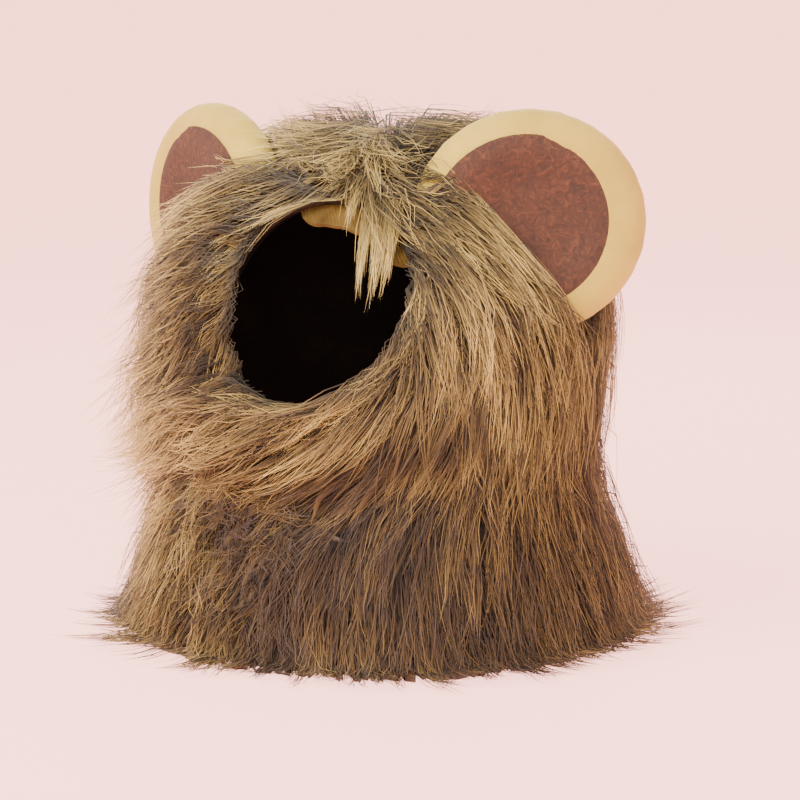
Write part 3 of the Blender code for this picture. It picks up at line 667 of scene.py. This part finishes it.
# A disc of fleece laid in the ear's dish, puffed a little and tucked in at its edge
def makePatch(side, word):
    deselect()
    bpy.ops.mesh.primitive_circle_add(vertices=patchForm["sides"], radius=earForm["patchRadius"],
                                      fill_type="NGON")
    patch = bpy.context.object
    patch.name = "inner_ear_" + word + "_fleece"
    bpy.ops.object.mode_set(mode="EDIT")
    for _ in range(patchForm["rings"] - 1):
        bpy.ops.mesh.inset(thickness=earForm["patchRadius"] / patchForm["rings"])
    bpy.ops.mesh.poke()
    bpy.ops.object.mode_set(mode="OBJECT")
    for vertex in patch.data.vertices:
        edge = math.hypot(vertex.co.x, vertex.co.y) / earForm["patchRadius"]
        vertex.co.x -= side * earForm["patchShift"]
        fromMiddle = math.hypot(vertex.co.x, vertex.co.y)
        tucked = max(edge - patchForm["tuckFrom"], 0) / (1 - patchForm["tuckFrom"])
        vertex.co.z = (float(earFaceHeight(np.array(fromMiddle))) + patchForm["lift"]
                       + patchForm["puff"] * (1 - edge ** 4) - patchForm["tuck"] * tucked)
    patch.data.transform(earMatrix(side))
    shapeWith(patch, "SOLIDIFY", thickness=patchForm["thickness"], offset=-1)
    faceOutwards(patch)
    finishPiece(patch, "fleece", earFleece, "inner_ear_" + word)


for side, word in ((-1, "left"), (1, "right")):
    makePatch(side, word)


print("pile")
# Modacrylic long pile: dark at the root, partly its own colour and partly painted shade deep in
# the pile, golden tan along the shaft, smoky at the tip on some.
# The strand's own map drives the colour. Along it runs root to tip; across it is the shade,
# once for plain strands in its first half and again for smoky-tipped ones in its second.
def pileMaterial(name, streaks):
    made, tree, shader = startMaterial(name)
    strandMap = addNode(tree, "ShaderNodeUVMap", {"uv_map": "OFBake"})
    parts = addNode(tree, "ShaderNodeSeparateXYZ", {}, {"Vector": strandMap.outputs["UV"]})
    along = addNode(tree, "ShaderNodeValToRGB",
                    {"ramp": [(0.0, "#0f0b05"), (0.25, "#251d0e"), (0.52, "#524624"),
                              (0.80, "#84743f"), (1.0, "#b09e62")]}, {"Fac": parts.outputs["Y"]})
    doubled = addNode(tree, "ShaderNodeMath", {"operation": "MULTIPLY", 1: 2.0},
                      {0: parts.outputs["X"]})
    tone = addNode(tree, "ShaderNodeMath", {"operation": "FRACT"},
                   {0: doubled.outputs["Value"]}).outputs["Value"]
    if streaks:  # a wide lock shows the fibres in it as streaks about 0.3 mm wide
        stretched = addNode(tree, "ShaderNodeMapping", {"Scale": (520.0, 5.0, 1.0)},
                            {"Vector": strandMap.outputs["UV"]})
        fibres = addNode(tree, "ShaderNodeTexNoise", {"Scale": 1.0, "Detail": 2.0},
                         {"Vector": stretched.outputs["Vector"]})
        spread = addNode(tree, "ShaderNodeMapRange", {"From Min": 0.3, "From Max": 0.7,
                                                      "To Min": -0.32, "To Max": 0.26},
                         {"Value": fibres.outputs["Fac"]})
        tone = addNode(tree, "ShaderNodeMath", {"operation": "ADD"},
                       {0: tone, 1: spread.outputs["Result"]}).outputs["Value"]
        relief = addNode(tree, "ShaderNodeBump", {"Strength": 0.6, "Distance": 0.0003},
                         {"Height": fibres.outputs["Fac"]})
        tree.links.new(relief.outputs["Normal"], shader.inputs["Normal"])
    shade = addNode(tree, "ShaderNodeValToRGB",
                    {"ramp": [(0.0, (0.15, 0.12, 0.09, 1)), (0.3, (0.50, 0.45, 0.39, 1)),
                              (0.65, (1.0, 0.99, 0.97, 1)), (1.0, (1.60, 1.60, 1.60, 1))]},
                    {"Fac": tone})
    golden = addNode(tree, "ShaderNodeMix", {"data_type": "RGBA", "blend_type": "MULTIPLY", 0: 1.0},
                     {6: along.outputs["Color"], 7: shade.outputs["Color"]})
    smoky = addNode(tree, "ShaderNodeMath", {"operation": "GREATER_THAN", 1: 0.5},
                    {0: parts.outputs["X"]})
    tipward = addNode(tree, "ShaderNodeMapRange", {"From Min": 0.58, "From Max": 0.88},
                      {"Value": parts.outputs["Y"]})
    smoke = addNode(tree, "ShaderNodeMath", {"operation": "MULTIPLY"},
                    {0: smoky.outputs["Value"], 1: tipward.outputs["Result"]})
    dark = addNode(tree, "ShaderNodeMix", {"data_type": "RGBA", 7: "#33302c"},
                   {0: smoke.outputs["Value"], 6: golden.outputs[2]})
    setNode(tree, shader, {"Roughness": 0.6, "Specular IOR Level": 0.22, "Sheen Weight": 0.08},
            {"Base Color": dark.outputs[2]})
    return made


pileFibre = pileMaterial("modacrylic_long_pile", False)
pileLock = pileMaterial("modacrylic_pile_locks", True)

pileForm = {
    "lockSpacing": 0.0052, "perLock": 10, "perBackLock": 7, "backShare": 0.50, "backSpread": 1.45,
    "spread": 0.0042, "width": 0.00038, "backWidth": 0.00085, "points": 5, "steps": 10,
    "clumping": 0.66, "frizz": 0.0010, "poleRate": 0.012, "leastOffset": 0.0006,
    "strayShare": 0.06, "strayClumping": 0.25, "strayLonger": 1.08,
    # cardTone draws the under-locks darker: painted shade beneath the strands
    "cardSpacing": 0.0062, "cardWidth": 0.0040, "cardRise": 0.60, "cardTone": -0.12,
    "cardSpread": 0.3, "cardFlat": 0.45, "cardMapWidth": 0.012, "mapWidth": 0.003,
    "tuftSpacing": 0.0098, "perTuft": 22, "tuftSpread": 0.0052, "tuftWidth": 0.00034,
    "tuftClumping": 0.88, "tuftTone": 0.06, "softness": 0.68,
    # where locks are rooted, and the least room they leave to the opening
    "lowest": 0.0050, "belowTop": 0.12, "rowStep": 0.92, "jitter": 0.35,
    "rootMargin": 0.003, "walkMargin": 0.001, "shortest": 0.010, "shortBelow": 0.035,
}
# The shade of a strand: its middle, how far darkness, lift, the lock and chance move it. The
# darkness holds painted light and shade, and lift draws strands low in the pile darker and high
# ones paler, as painted shade and light
toneForm = {"middle": 0.68, "dark": 0.55, "lift": 0.22, "locks": 0.13, "strands": 0.06,
            "least": 0.03, "most": 0.97}
# Share of smoky-tipped strands by how dark the place is, and a strand's width along it
smokyTable = ((-0.3, 0.2, 0.6, 1.0), (0.03, 0.18, 0.50, 0.85))
taperTable = ((0, 0.3, 0.75, 1), (0.8, 1.0, 0.62, 0.0))


# Locks all over the hood. Those that would hang over the face opening are cut short
def coverHood(spacing):
    jitter = pileForm["jitter"]
    arounds = []
    levels = []
    level = float(levelOf(pileForm["lowest"]))
    while level < topLevel - pileForm["belowTop"]:
        section = sectionAt(np.array(level))
        count = max(6, round(math.pi * (section[1] + section[2]) / spacing))
        slot = np.arange(count) + 0.5 * (len(levels) % 2) + chance.uniform(-jitter, jitter, count)
        arounds.append(slot / count * 2 * math.pi - math.pi)
        rate = clothFrame(np.array(1.6), np.array(level))[4]
        levels.append(level + chance.uniform(-jitter, jitter, count) * spacing / rate)
        level += spacing * pileForm["rowStep"] / rate
    around = np.concatenate(arounds)
    level = np.concatenate(levels)
    height = sectionAt(level)[:, 0]
    turn, length, rise, flare = groomAt(around, height).T[:4]
    count = len(around)
    locks = {"around": around, "level": level, "length": length * chance.uniform(0.85, 1.12, count),
             "turn": np.radians(turn) + 0.20 * drift(around, height, 3) + chance.normal(0, 0.12, count),
             "rise": rise * chance.uniform(0.82, 1.06, count), "flare": flare,
             "dark": darkAt(around, height),
             "bend": 0.3 * drift(around, height, 5) + chance.normal(0, 0.20, count),
             "follow": np.full(count, 0.5), "spread": 0.25 + 1.5 * chance.uniform(0, 1, count) ** 3,
             "curl": np.ones(count)}
    for spot in hollowTable:
        locks["rise"] *= 1 - nearness(around, height, spot) * spot[5]
    for patch in matTable:
        matted = nearness(around, height, patch)
        locks["turn"] += matted * chance.normal(0, patch[4], count)
        locks["bend"] += matted * chance.normal(0, patch[5], count)
        locks["length"] *= 1 - matted * patch[6]
        locks["curl"] += matted * patch[7]
    low = np.clip(1 - height / pileForm["shortBelow"], 0, 1)
    locks["length"] *= 1 - low * chance.uniform(0, 0.5, count)
    locks = pickLocks(locks, ~inOpening(around, level, pileForm["rootMargin"]))
    over = inOpening(*walkLocks(locks), pileForm["walkMargin"])
    first = np.where(over.any(1), over.argmax(1), pileForm["steps"])
    share = np.clip(first / pileForm["steps"] + 0.12, 0, 1)
    locks["length"] = locks["length"] * share
    locks["rise"] = locks["rise"] * np.clip(share + 0.2, 0, 1)
    locks["flare"] = locks["flare"] * np.clip(share + 0.1, 0, 1)
    return pickLocks(locks, locks["length"] > pileForm["shortest"])


# The middle line of every lock: it starts along its own turn and comes round to its neighbours'
def walkLocks(locks):
    steps = pileForm["steps"]
    around = locks["around"].copy()
    level = locks["level"].copy()
    paths = [(around.copy(), level.copy())]
    for k in range(steps):
        t = k / steps
        sideRate, upRate = clothFrame(around, level)[3:]
        sideRate = np.maximum(sideRate, pileForm["poleRate"])
        there = np.radians(groomAt(around, sectionAt(np.maximum(level, floorLevel))[:, 0])[:, 0])
        mixIn = locks["follow"] * t
        turn = locks["turn"] * (1 - mixIn) + there * mixIn + locks["bend"] * t
        move = locks["length"] / steps
        around = around + np.sin(turn) * move / sideRate
        level = level - np.cos(turn) * move / upRate
        paths.append((around.copy(), level.copy()))
    return np.array([p[0] for p in paths]).T, np.array([p[1] for p in paths]).T


# Strands for every lock, drawn together towards its middle line, lifted and kept clear of the
# ears and the opening, with their shade along them
def growStrands(locks, perLock, spread, width, clumping, tint=0.0):
    points = pileForm["points"]
    guideAround, guideLevel = walkLocks(locks)
    lockCount = len(locks["around"])
    which = np.repeat(np.arange(lockCount), perLock)
    count = len(which)
    reach = spread * np.sqrt(chance.uniform(0, 1, count))
    heading = chance.uniform(0, 2 * math.pi, count)
    scale = chance.uniform(0.72, 1.10, count) * (1 - 0.30 * (reach / max(spread, 1e-6)) ** 2)
    stray = chance.uniform(0, 1, count) < pileForm["strayShare"]
    scale = np.where(stray, scale * pileForm["strayLonger"], scale)
    lift = np.where(stray, chance.uniform(0.8, 1.2, count), chance.uniform(0.30, 1.0, count))
    t = np.linspace(0, 1, points)[None, :]
    s = np.clip(t * np.minimum(scale, 1.0)[:, None], 0, 1) * pileForm["steps"]
    low = np.minimum(s.astype(int), pileForm["steps"] - 1)
    part = s - low
    rows = which[:, None]
    around = guideAround[rows, low] * (1 - part) + guideAround[rows, low + 1] * part
    level = guideLevel[rows, low] * (1 - part) + guideLevel[rows, low + 1] * part
    close = 1 - np.where(stray, pileForm["strayClumping"], clumping)[:, None] * t ** 0.9
    wave = chance.uniform(0, 2 * math.pi, (2, count, 1))
    pace = chance.uniform(0.6, 1.6, (2, count, 1))
    frizz = pileForm["frizz"] * t * np.sin(wave + pace * 2 * math.pi * t)
    frizz = frizz * locks["curl"][which][:, None]
    height = sectionAt(np.maximum(level, floorLevel))[..., 0]
    # Past its root a strand takes on the darkness of the places it passes, the hollows' painted shade
    # among it
    placeDark = darkAt(around, height)
    placeDark -= placeDark[:, :1]
    sideRate, upRate = clothFrame(around, level)[3:]
    sideRate = np.maximum(sideRate, pileForm["poleRate"])
    around = around + ((reach * np.cos(heading))[:, None] * close + frizz[0]) / sideRate
    level = level + ((reach * np.sin(heading))[:, None] * close + frizz[1]) / upRate
    rise = locks["rise"][which][:, None]
    flare = locks["flare"][which][:, None]
    profile = np.clip(t / 0.32, 0, 1)
    profile = profile * (2 - profile) * rise
    ease = np.clip((t - 0.5) / 0.5, 0, 1) ** 1.5
    offset = (profile * (1 - ease) + flare * ease) * lift[:, None]
    offset = np.maximum(offset, pileForm["leastOffset"])
    spots = pilePoint(around, level, offset, locks["spread"][which][:, None])
    if "drop" in locks:
        spots[..., 2] -= locks["drop"][which][:, None] * t ** 2
    if "arch" in locks:
        inwards = unit(openingCentre - spots[:, :1]) * locks["arch"][which][:, None, None]
        spots += inwards * np.sin(math.pi * np.clip(t / 0.62, 0, 1))[..., None]
    loose = chance.uniform(0, 1, (count, 1))
    spots, shown = clearOfEars(spots, loose)
    shown &= level.max(1) < topLevel
    if "drop" not in locks:
        spots, clear = clearOfOpening(spots, hangForm["share"][0] + hangForm["share"][1] * loose)
        shown &= clear
    spots[..., 2] = np.maximum(spots[..., 2], hemForm["floorGap"])
    # Strands low in the pile are drawn darker and high ones paler: painted shade and light by depth
    tone = (toneForm["middle"] + tint - toneForm["dark"] * locks["dark"][which]
            + toneForm["lift"] * np.clip(lift - 0.6, -0.4, 0.5))
    lockTone = chance.normal(0, toneForm["locks"], lockCount)[which]
    tone = (tone + lockTone + chance.normal(0, toneForm["strands"], count))[:, None]
    tone = np.clip(tone - toneForm["dark"] * placeDark, toneForm["least"], toneForm["most"])
    isSmoky = chance.uniform(0, 1, count) < np.interp(locks["dark"][which], *smokyTable)
    grown = {"spots": spots, "tone": tone / 2 + 0.5 * isSmoky[:, None],
             "width": width * chance.uniform(0.75, 1.15, count), "flat": np.ones(count),
             "mapWidth": np.full(count, pileForm["mapWidth"])}
    return pickLocks(grown, shown)


# Wide locks under the strands, one closed flat strip to each, which fill the pile. They are
# drawn darker, as painted shade beneath the strands
def growCards(locks):
    strands = growStrands(locks, 1, 0.0, 1.0, 0.0, pileForm["cardTone"])
    count = len(strands["tone"])
    strands["width"] = pileForm["cardWidth"] * chance.uniform(0.8, 1.25, count)
    strands["flat"] = np.full(count, pileForm["cardFlat"])
    strands["mapWidth"] = np.full(count, pileForm["cardMapWidth"])
    return strands


# Turns strands into one mesh: rings of three corners and a tip, closed, with the strand's map
def strandMesh(name, strands):
    spots, tone, width = strands["spots"], strands["tone"], strands["width"]
    count, points = spots.shape[:2]
    along = unit(np.gradient(spots, axis=1))
    outward = unit(spots[:, 0] * np.array((1, 1, 0.3)) - np.array((0, 0, 0.02)))[:, None, :]
    across = unit(np.cross(along, outward + np.zeros_like(along)))
    lifted = np.cross(across, along)
    t = np.linspace(0, 1, points)
    size = width[:, None, None] * np.interp(t, *taperTable)[None, :, None]
    flat = strands["flat"][:, None, None]
    corners = []
    facings = []
    away = unit(spots * np.array((1, 1, 0)) + np.array((0, 0, 1.6))
                * np.maximum(spots[..., 2:] - 0.11, 0))
    soft = pileForm["softness"]
    for sideways, upwards in ((-0.5, -0.18), (0.5, -0.18), (0.0, 0.42)):
        corners.append(spots + across * size * sideways + lifted * size * upwards * flat)
        facings.append(unit(away * soft + unit(across * sideways + lifted * upwards) * (1 - soft)))
    rings = np.stack(corners, 2)[:, :-1].reshape(count, (points - 1) * 3, 3)
    vertices = np.concatenate((rings, spots[:, -1:]), 1)
    vertices[..., 2] = np.maximum(vertices[..., 2], 0.0002)
    facings = np.stack(facings, 2)[:, :-1].reshape(count, (points - 1) * 3, 3)
    facings = np.concatenate((facings, away[:, -1:]), 1)
    perStrand = vertices.shape[1]
    faces = []
    maps = []
    sides = (-1.0, 1.0, 0.0)
    for ring in range(points - 2):
        for k in range(3):
            after = (k + 1) % 3
            faces.append((ring * 3 + after, ring * 3 + k, ring * 3 + 3 + k, ring * 3 + 3 + after))
            maps.append(((sides[after], t[ring]), (sides[k], t[ring]),
                         (sides[k], t[ring + 1]), (sides[after], t[ring + 1])))
    quads = len(faces)
    for k in range(3):
        after = (k + 1) % 3
        base = (points - 2) * 3
        faces.append((base + after, base + k, perStrand - 1))
        maps.append(((sides[after], t[-2]), (sides[k], t[-2]), (0.0, 1.0)))
    faces.append((0, 1, 2))
    maps.append(((-1.0, 0.0), (1.0, 0.0), (0.0, 0.02)))
    loopsEach = [corner for face in faces for corner in face]
    totals = np.array([len(face) for face in faces])
    mapEach = np.array([pair for face in maps for pair in face])
    loops = (np.array(loopsEach)[None, :] + perStrand * np.arange(count)[:, None]).ravel()
    totals = np.tile(totals, count)
    starts = np.concatenate(((0,), np.cumsum(totals)[:-1]))
    places = np.tile(mapEach, (count, 1))
    half = strands["mapWidth"][:, None]
    column = np.where(tone < 0.5, np.clip(tone, 0.002 + half, 0.498 - half),
                      np.clip(tone, 0.502 + half, 0.998 - half))[:, np.array(loopsEach) // 3]
    places[:, 0] = places[:, 0] * np.repeat(half[:, 0], len(loopsEach)) + column.ravel()
    places = np.clip(places, 0.001, 0.999)
    mesh = bpy.data.meshes.new(name)
    mesh.vertices.add(count * perStrand)
    mesh.vertices.foreach_set("co", vertices.ravel())
    mesh.loops.add(len(loops))
    mesh.loops.foreach_set("vertex_index", loops)
    mesh.polygons.add(len(totals))
    mesh.polygons.foreach_set("loop_start", starts)
    mesh.polygons.foreach_set("loop_total", totals)
    mesh.polygons.foreach_set("use_smooth", np.ones(len(totals), dtype=bool))
    layer = mesh.uv_layers.new(name="OFBake")
    layer.data.foreach_set("uv", places.ravel())
    layer.active_render = True
    mesh.update(calc_edges=True)
    mesh.validate()
    # Shaded partly as one soft mass, as brushed pile is
    mesh.normals_split_custom_set_from_vertices(facings.reshape(-1, 3))
    piece = bpy.data.objects.new(name, mesh)
    bpy.context.scene.collection.objects.link(piece)
    return piece, count * (quads * 2 + 4)


def pickLocks(locks, mask):
    return {key: value[mask] for key, value in locks.items()}


pileTriangles = []


def growPiece(name, material, *grown):
    strands = {key: np.concatenate([g[key] for g in grown]) for key in grown[0]}
    piece, triangles = strandMesh(name, strands)
    print("  ", name, len(strands["spots"]), "strands", triangles, "triangles")
    pileTriangles.append(triangles)
    piece.data.materials.append(material)
    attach(piece, "root")


# Locks rooted round the opening: clock from its top, turn, length, rise, flare, dark, and how
# far they arch in over the edge. Dark is tone with painted light and shade: the lip roll below
# the opening is drawn paler as if lit
rimTable = tableOf([2, 3, 4, 6], [
    (-60, -48, 44, 15, 24, 0.3, 3), (-20, -72, 36, 12, 15, 0.3, 0), (35, 58, 44, 13, 14, 0.3, 0),
    (58, 44, 58, 22, 22, 0, 2), (78, 34, 58, 22, 20, 0, 3), (100, 4, 50, 18, 15, 0.1, 4),
    (125, -50, 48, 21, 17, -0.1, 5), (150, -74, 50, 25, 21, -0.3, 5),
    (200, -80, 46, 24, 22, -0.3, 4), (225, -70, 42, 20, 24, 0.1, 4), (240, -40, 40, 16, 26, 0.3, 3),
    (300, -48, 44, 15, 24, 0.3, 3)])
# Locks that run along the edge and hang a little way in over it
edgeTable = tableOf([2, 3, 4, 6], [
    (38, 54, 24, 9, 9, 0.4, 3), (90, 2, 30, 12, 12, 0.2, 5), (125, -38, 36, 16, 15, 0, 6),
    (160, -72, 38, 19, 17, -0.3, 6), (200, -92, 34, 18, 16, -0.2, 5), (222, -70, 26, 10, 13, 0.2, 8),
    (240, 20, 26, 7, 10, 0.2, 11), (270, 4, 30, 7, 10, 0.1, 12), (300, -22, 32, 7, 10, 0.1, 10),
    (322, -46, 30, 7, 9, 0.2, 6)])

# How much more the locks right of the opening bend down, by clock
rimBendTable = ((40, 75, 115, 150), (0, -0.8, -0.9, 0))


# Locks set round the opening from a table of the clock, some way back from its edge
def rimLocks(table, count, setback, jitter, bend):
    clock = np.linspace(table[0, 0], table[-1, 0], count) + chance.uniform(-1.5, 1.5, count)
    clock = np.clip(clock, table[0, 0], table[-1, 0])
    turn, length, rise, flare, dark, arch = [np.interp(clock, table[:, 0], table[:, k])
                                             for k in range(1, 7)]
    away = setback + chance.uniform(0, jitter, count)
    across = (hoodForm["openingHalfWidth"] + away) * np.sin(np.radians(clock))
    upright = (hoodForm["openingHalfHeight"] + away) * np.cos(np.radians(clock))
    level = levelOf(hoodForm["openingHeight"] + upright * math.cos(hoodForm["openingLean"]))
    around = np.arcsin(across / sectionAt(level)[:, 1])
    return {"around": around, "level": level,
            "turn": np.radians(turn) + chance.normal(0, 0.12, count),
            "length": length * chance.uniform(0.8, 1.15, count),
            "rise": rise * chance.uniform(0.7, 1.1, count), "flare": flare, "dark": dark,
            "bend": chance.normal(0, bend, count) + np.interp(clock, *rimBendTable),
            "follow": np.full(count, 0.3), "spread": np.full(count, 0.5),
            "arch": arch * chance.uniform(0.4, 1.3, count), "curl": np.full(count, 1.5)}


# Single locks: degrees round, height, turn, length, rise, flare, bend, and how far their tips
# drop. First the forelock that hangs over the opening
forelockTable = tableOf([1, 3, 4, 5, 7], [
    (18.5, 170, -8, 48, 8.5, 5.5, 0.2, 4), (21, 169, -2, 50, 8, 5, 0, 4),
    (24, 169, 2, 46, 8.5, 5, -0.15, 3), (28, 168.5, 10, 26, 8, 5, 0.3, 3),
    (14, 170, -22, 24, 8.5, 6, 0.4, 3)])
# Thin wisps beside it
wispTable = tableOf([1, 3, 4, 5, 7], [
    (32, 166, 4, 36, 7, 5, 0.2, 2), (36, 165, -6, 40, 7.5, 5.5, 0.4, 2),
    (41, 164, 2, 34, 7.5, 5, -0.3, 2), (9, 169, -50, 22, 8, 6, -0.5, 2)])
# Long locks combed from the crown and the brow over the foot of each ear
sweepTable = tableOf([1, 3, 4, 5, 7], [
    (-12, 169, -58, 58, 17, 20, 0.2, 0), (-20, 167, -54, 62, 18, 24, 0.1, 0),
    (-28, 165, -50, 64, 18, 26, 0, 0), (-35, 161, -50, 62, 18, 28, 0.1, 0),
    (-41, 156, -48, 60, 18, 30, 0, 0), (-46, 150, -46, 58, 19, 32, 0.1, 0),
    (-50, 143, -42, 56, 20, 34, 0, 0), (-24, 173, -60, 56, 16, 22, 0.2, 0),
    (-38, 169, -56, 58, 17, 26, 0.1, 0), (-48, 162, -50, 58, 18, 30, 0, 0),
    (-54, 152, -46, 56, 19, 34, 0, 0), (-58, 142, -42, 54, 20, 36, 0, 0),
    (25, 170, 84, 56, 14, 18, -0.7, 0), (28, 168, 76, 58, 14, 18, -0.7, 0),
    (30, 166, 68, 58, 14, 17, -0.6, 0), (31, 163, 58, 56, 15, 17, -0.5, 0),
    (34, 159, 50, 56, 16, 17, -0.4, 0), (38, 154, 44, 56, 17, 16, -0.4, 0)])
# Unruly tufts over the crown, most of them where its parting starts
crownTable = tableOf([1, 3, 4, 5, 7], [
    (-20, 177, -40, 30, 15, 25, 0.4, 0), (0, 177.5, -20, 28, 16, 26, -0.5, 0),
    (12, 177.2, 10, 30, 14, 20, 0.6, 0), (30, 177.5, -30, 26, 16, 26, -0.4, 0),
    (50, 177.2, 60, 34, 16, 23, 0.2, 0), (20, 176.5, -50, 30, 12, 19, 0.8, 0),
    (5, 176.5, 30, 28, 13, 20, -0.7, 0), (-35, 177, -30, 28, 13, 21, 0.5, 0),
    (120, 177.2, 60, 30, 14, 21, 0.3, 0), (-120, 177.2, -20, 26, 13, 19, 0.3, 0),
    (170, 177.5, 0, 26, 13, 19, 0.2, 0), (15, 175.5, 0, 30, 12, 14, 0.3, 0),
    (70, 176.8, 70, 36, 16, 22, 0.2, 0), (90, 177.4, 50, 32, 15, 24, -0.3, 0),
    (35, 175.5, 74, 38, 15, 19, 0.4, 0), (150, 177, 90, 30, 13, 20, 0.4, 0)])


def namedLocks(table, dark):
    count = len(table)
    return {"around": np.radians(table[:, 0]), "level": levelOf(table[:, 1]),
            "turn": np.radians(table[:, 2]), "length": table[:, 3], "rise": table[:, 4],
            "flare": table[:, 5], "bend": table[:, 6], "drop": table[:, 7],
            "dark": np.full(count, dark), "follow": np.zeros(count),
            "spread": np.full(count, 0.5), "curl": np.ones(count)}


cardLocks = coverHood(pileForm["cardSpacing"])
cardLocks["rise"] *= pileForm["cardRise"]
cardLocks["spread"][:] = pileForm["cardSpread"]
cardLocks["flare"] *= pileForm["cardRise"]
inFront = np.abs(np.degrees(cardLocks["around"])) < 90
growPiece("front_under_locks", pileLock, growCards(pickLocks(cardLocks, inFront)))
growPiece("back_under_locks", pileLock, growCards(pickLocks(cardLocks, ~inFront)))

# Where one piece of the pile ends and the next starts: degrees round, and heights
regionForm = {"frontMiddle": 10, "frontHalf": 112, "crownFrom": 0.158, "skirtTo": 0.075,
              "maneSplit": 0, "skirtSplit": 8}


# Which of the pile's pieces each lock belongs to
def regionsOf(locks):
    degrees = np.degrees(locks["around"])
    heights = sectionAt(locks["level"])[:, 0]
    atBack = np.abs(degrees - regionForm["frontMiddle"]) > regionForm["frontHalf"]
    crown = ~atBack & (heights > regionForm["crownFrom"])
    lower = ~atBack & (heights <= regionForm["skirtTo"])
    upper = ~atBack & ~crown & ~lower
    leftMane = degrees < regionForm["maneSplit"]
    leftSkirt = degrees < regionForm["skirtSplit"]
    return {"crown_pile": crown, "left_mane": upper & leftMane, "right_mane": upper & ~leftMane,
            "left_skirt": lower & leftSkirt, "right_skirt": lower & ~leftSkirt, "back_pile": atBack}


hoodLocks = coverHood(pileForm["lockSpacing"])
keep = ~regionsOf(hoodLocks)["back_pile"]
keep |= chance.uniform(0, 1, len(keep)) < pileForm["backShare"]
hoodLocks = pickLocks(hoodLocks, keep)
tufts = coverHood(pileForm["tuftSpacing"])
tufts["length"] *= chance.uniform(0.9, 1.25, len(tufts["length"]))
tufts["rise"] *= chance.uniform(0.95, 1.15, len(tufts["rise"]))
tufts["flare"] *= chance.uniform(0.9, 1.25, len(tufts["flare"]))
print("  locks", len(hoodLocks["around"]), "tufts", len(tufts["around"]))
tuftRegions = regionsOf(tufts)
for name, mask in regionsOf(hoodLocks).items():
    locks = pickLocks(hoodLocks, mask)
    if name == "back_pile":
        grown = [growStrands(locks, pileForm["perBackLock"], pileForm["spread"] * pileForm["backSpread"],
                             pileForm["backWidth"], pileForm["clumping"])]
    else:
        grown = [growStrands(locks, pileForm["perLock"], pileForm["spread"], pileForm["width"],
                             pileForm["clumping"]),
                 growStrands(pickLocks(tufts, tuftRegions[name]), pileForm["perTuft"],
                             pileForm["tuftSpread"], pileForm["tuftWidth"],
                             pileForm["tuftClumping"], pileForm["tuftTone"])]
    growPiece(name, pileFibre, *grown)
# Round the opening: table, locks, setback, its jitter, unevenness of bend; then strands to a
# lock, spread, width and clumping
rimForm = (((rimTable, 120, -0.001, 0.007, 0.2), (13, 0.0034, pileForm["width"], 0.74)),
           ((edgeTable, 90, 0.0005, 0.0025, 0.35), (14, 0.0022, 0.00034, 0.7)))
growPiece("rim_pile", pileFibre, *[growStrands(rimLocks(*locks), *strands)
                                   for locks, strands in rimForm])
# The single locks: table, darkness; then strands to a lock, spread, width, clumping and tint
singleForm = ((forelockTable, 0.0, 60, 0.0048, 0.00029, 0.76, 0.02),
              (wispTable, 0.1, 16, 0.0030, 0.00032, 0.60, 0.0),
              (crownTable, 0.1, 60, 0.0065, 0.00030, 0.84, 0.0),
              (sweepTable, -0.1, 44, 0.0062, 0.00036, 0.72, 0.0))
growPiece("forelock", pileFibre, *[growStrands(namedLocks(table, dark), *strands)
                                   for table, dark, *strands in singleForm])
print("  triangles of the pile", sum(pileTriangles))
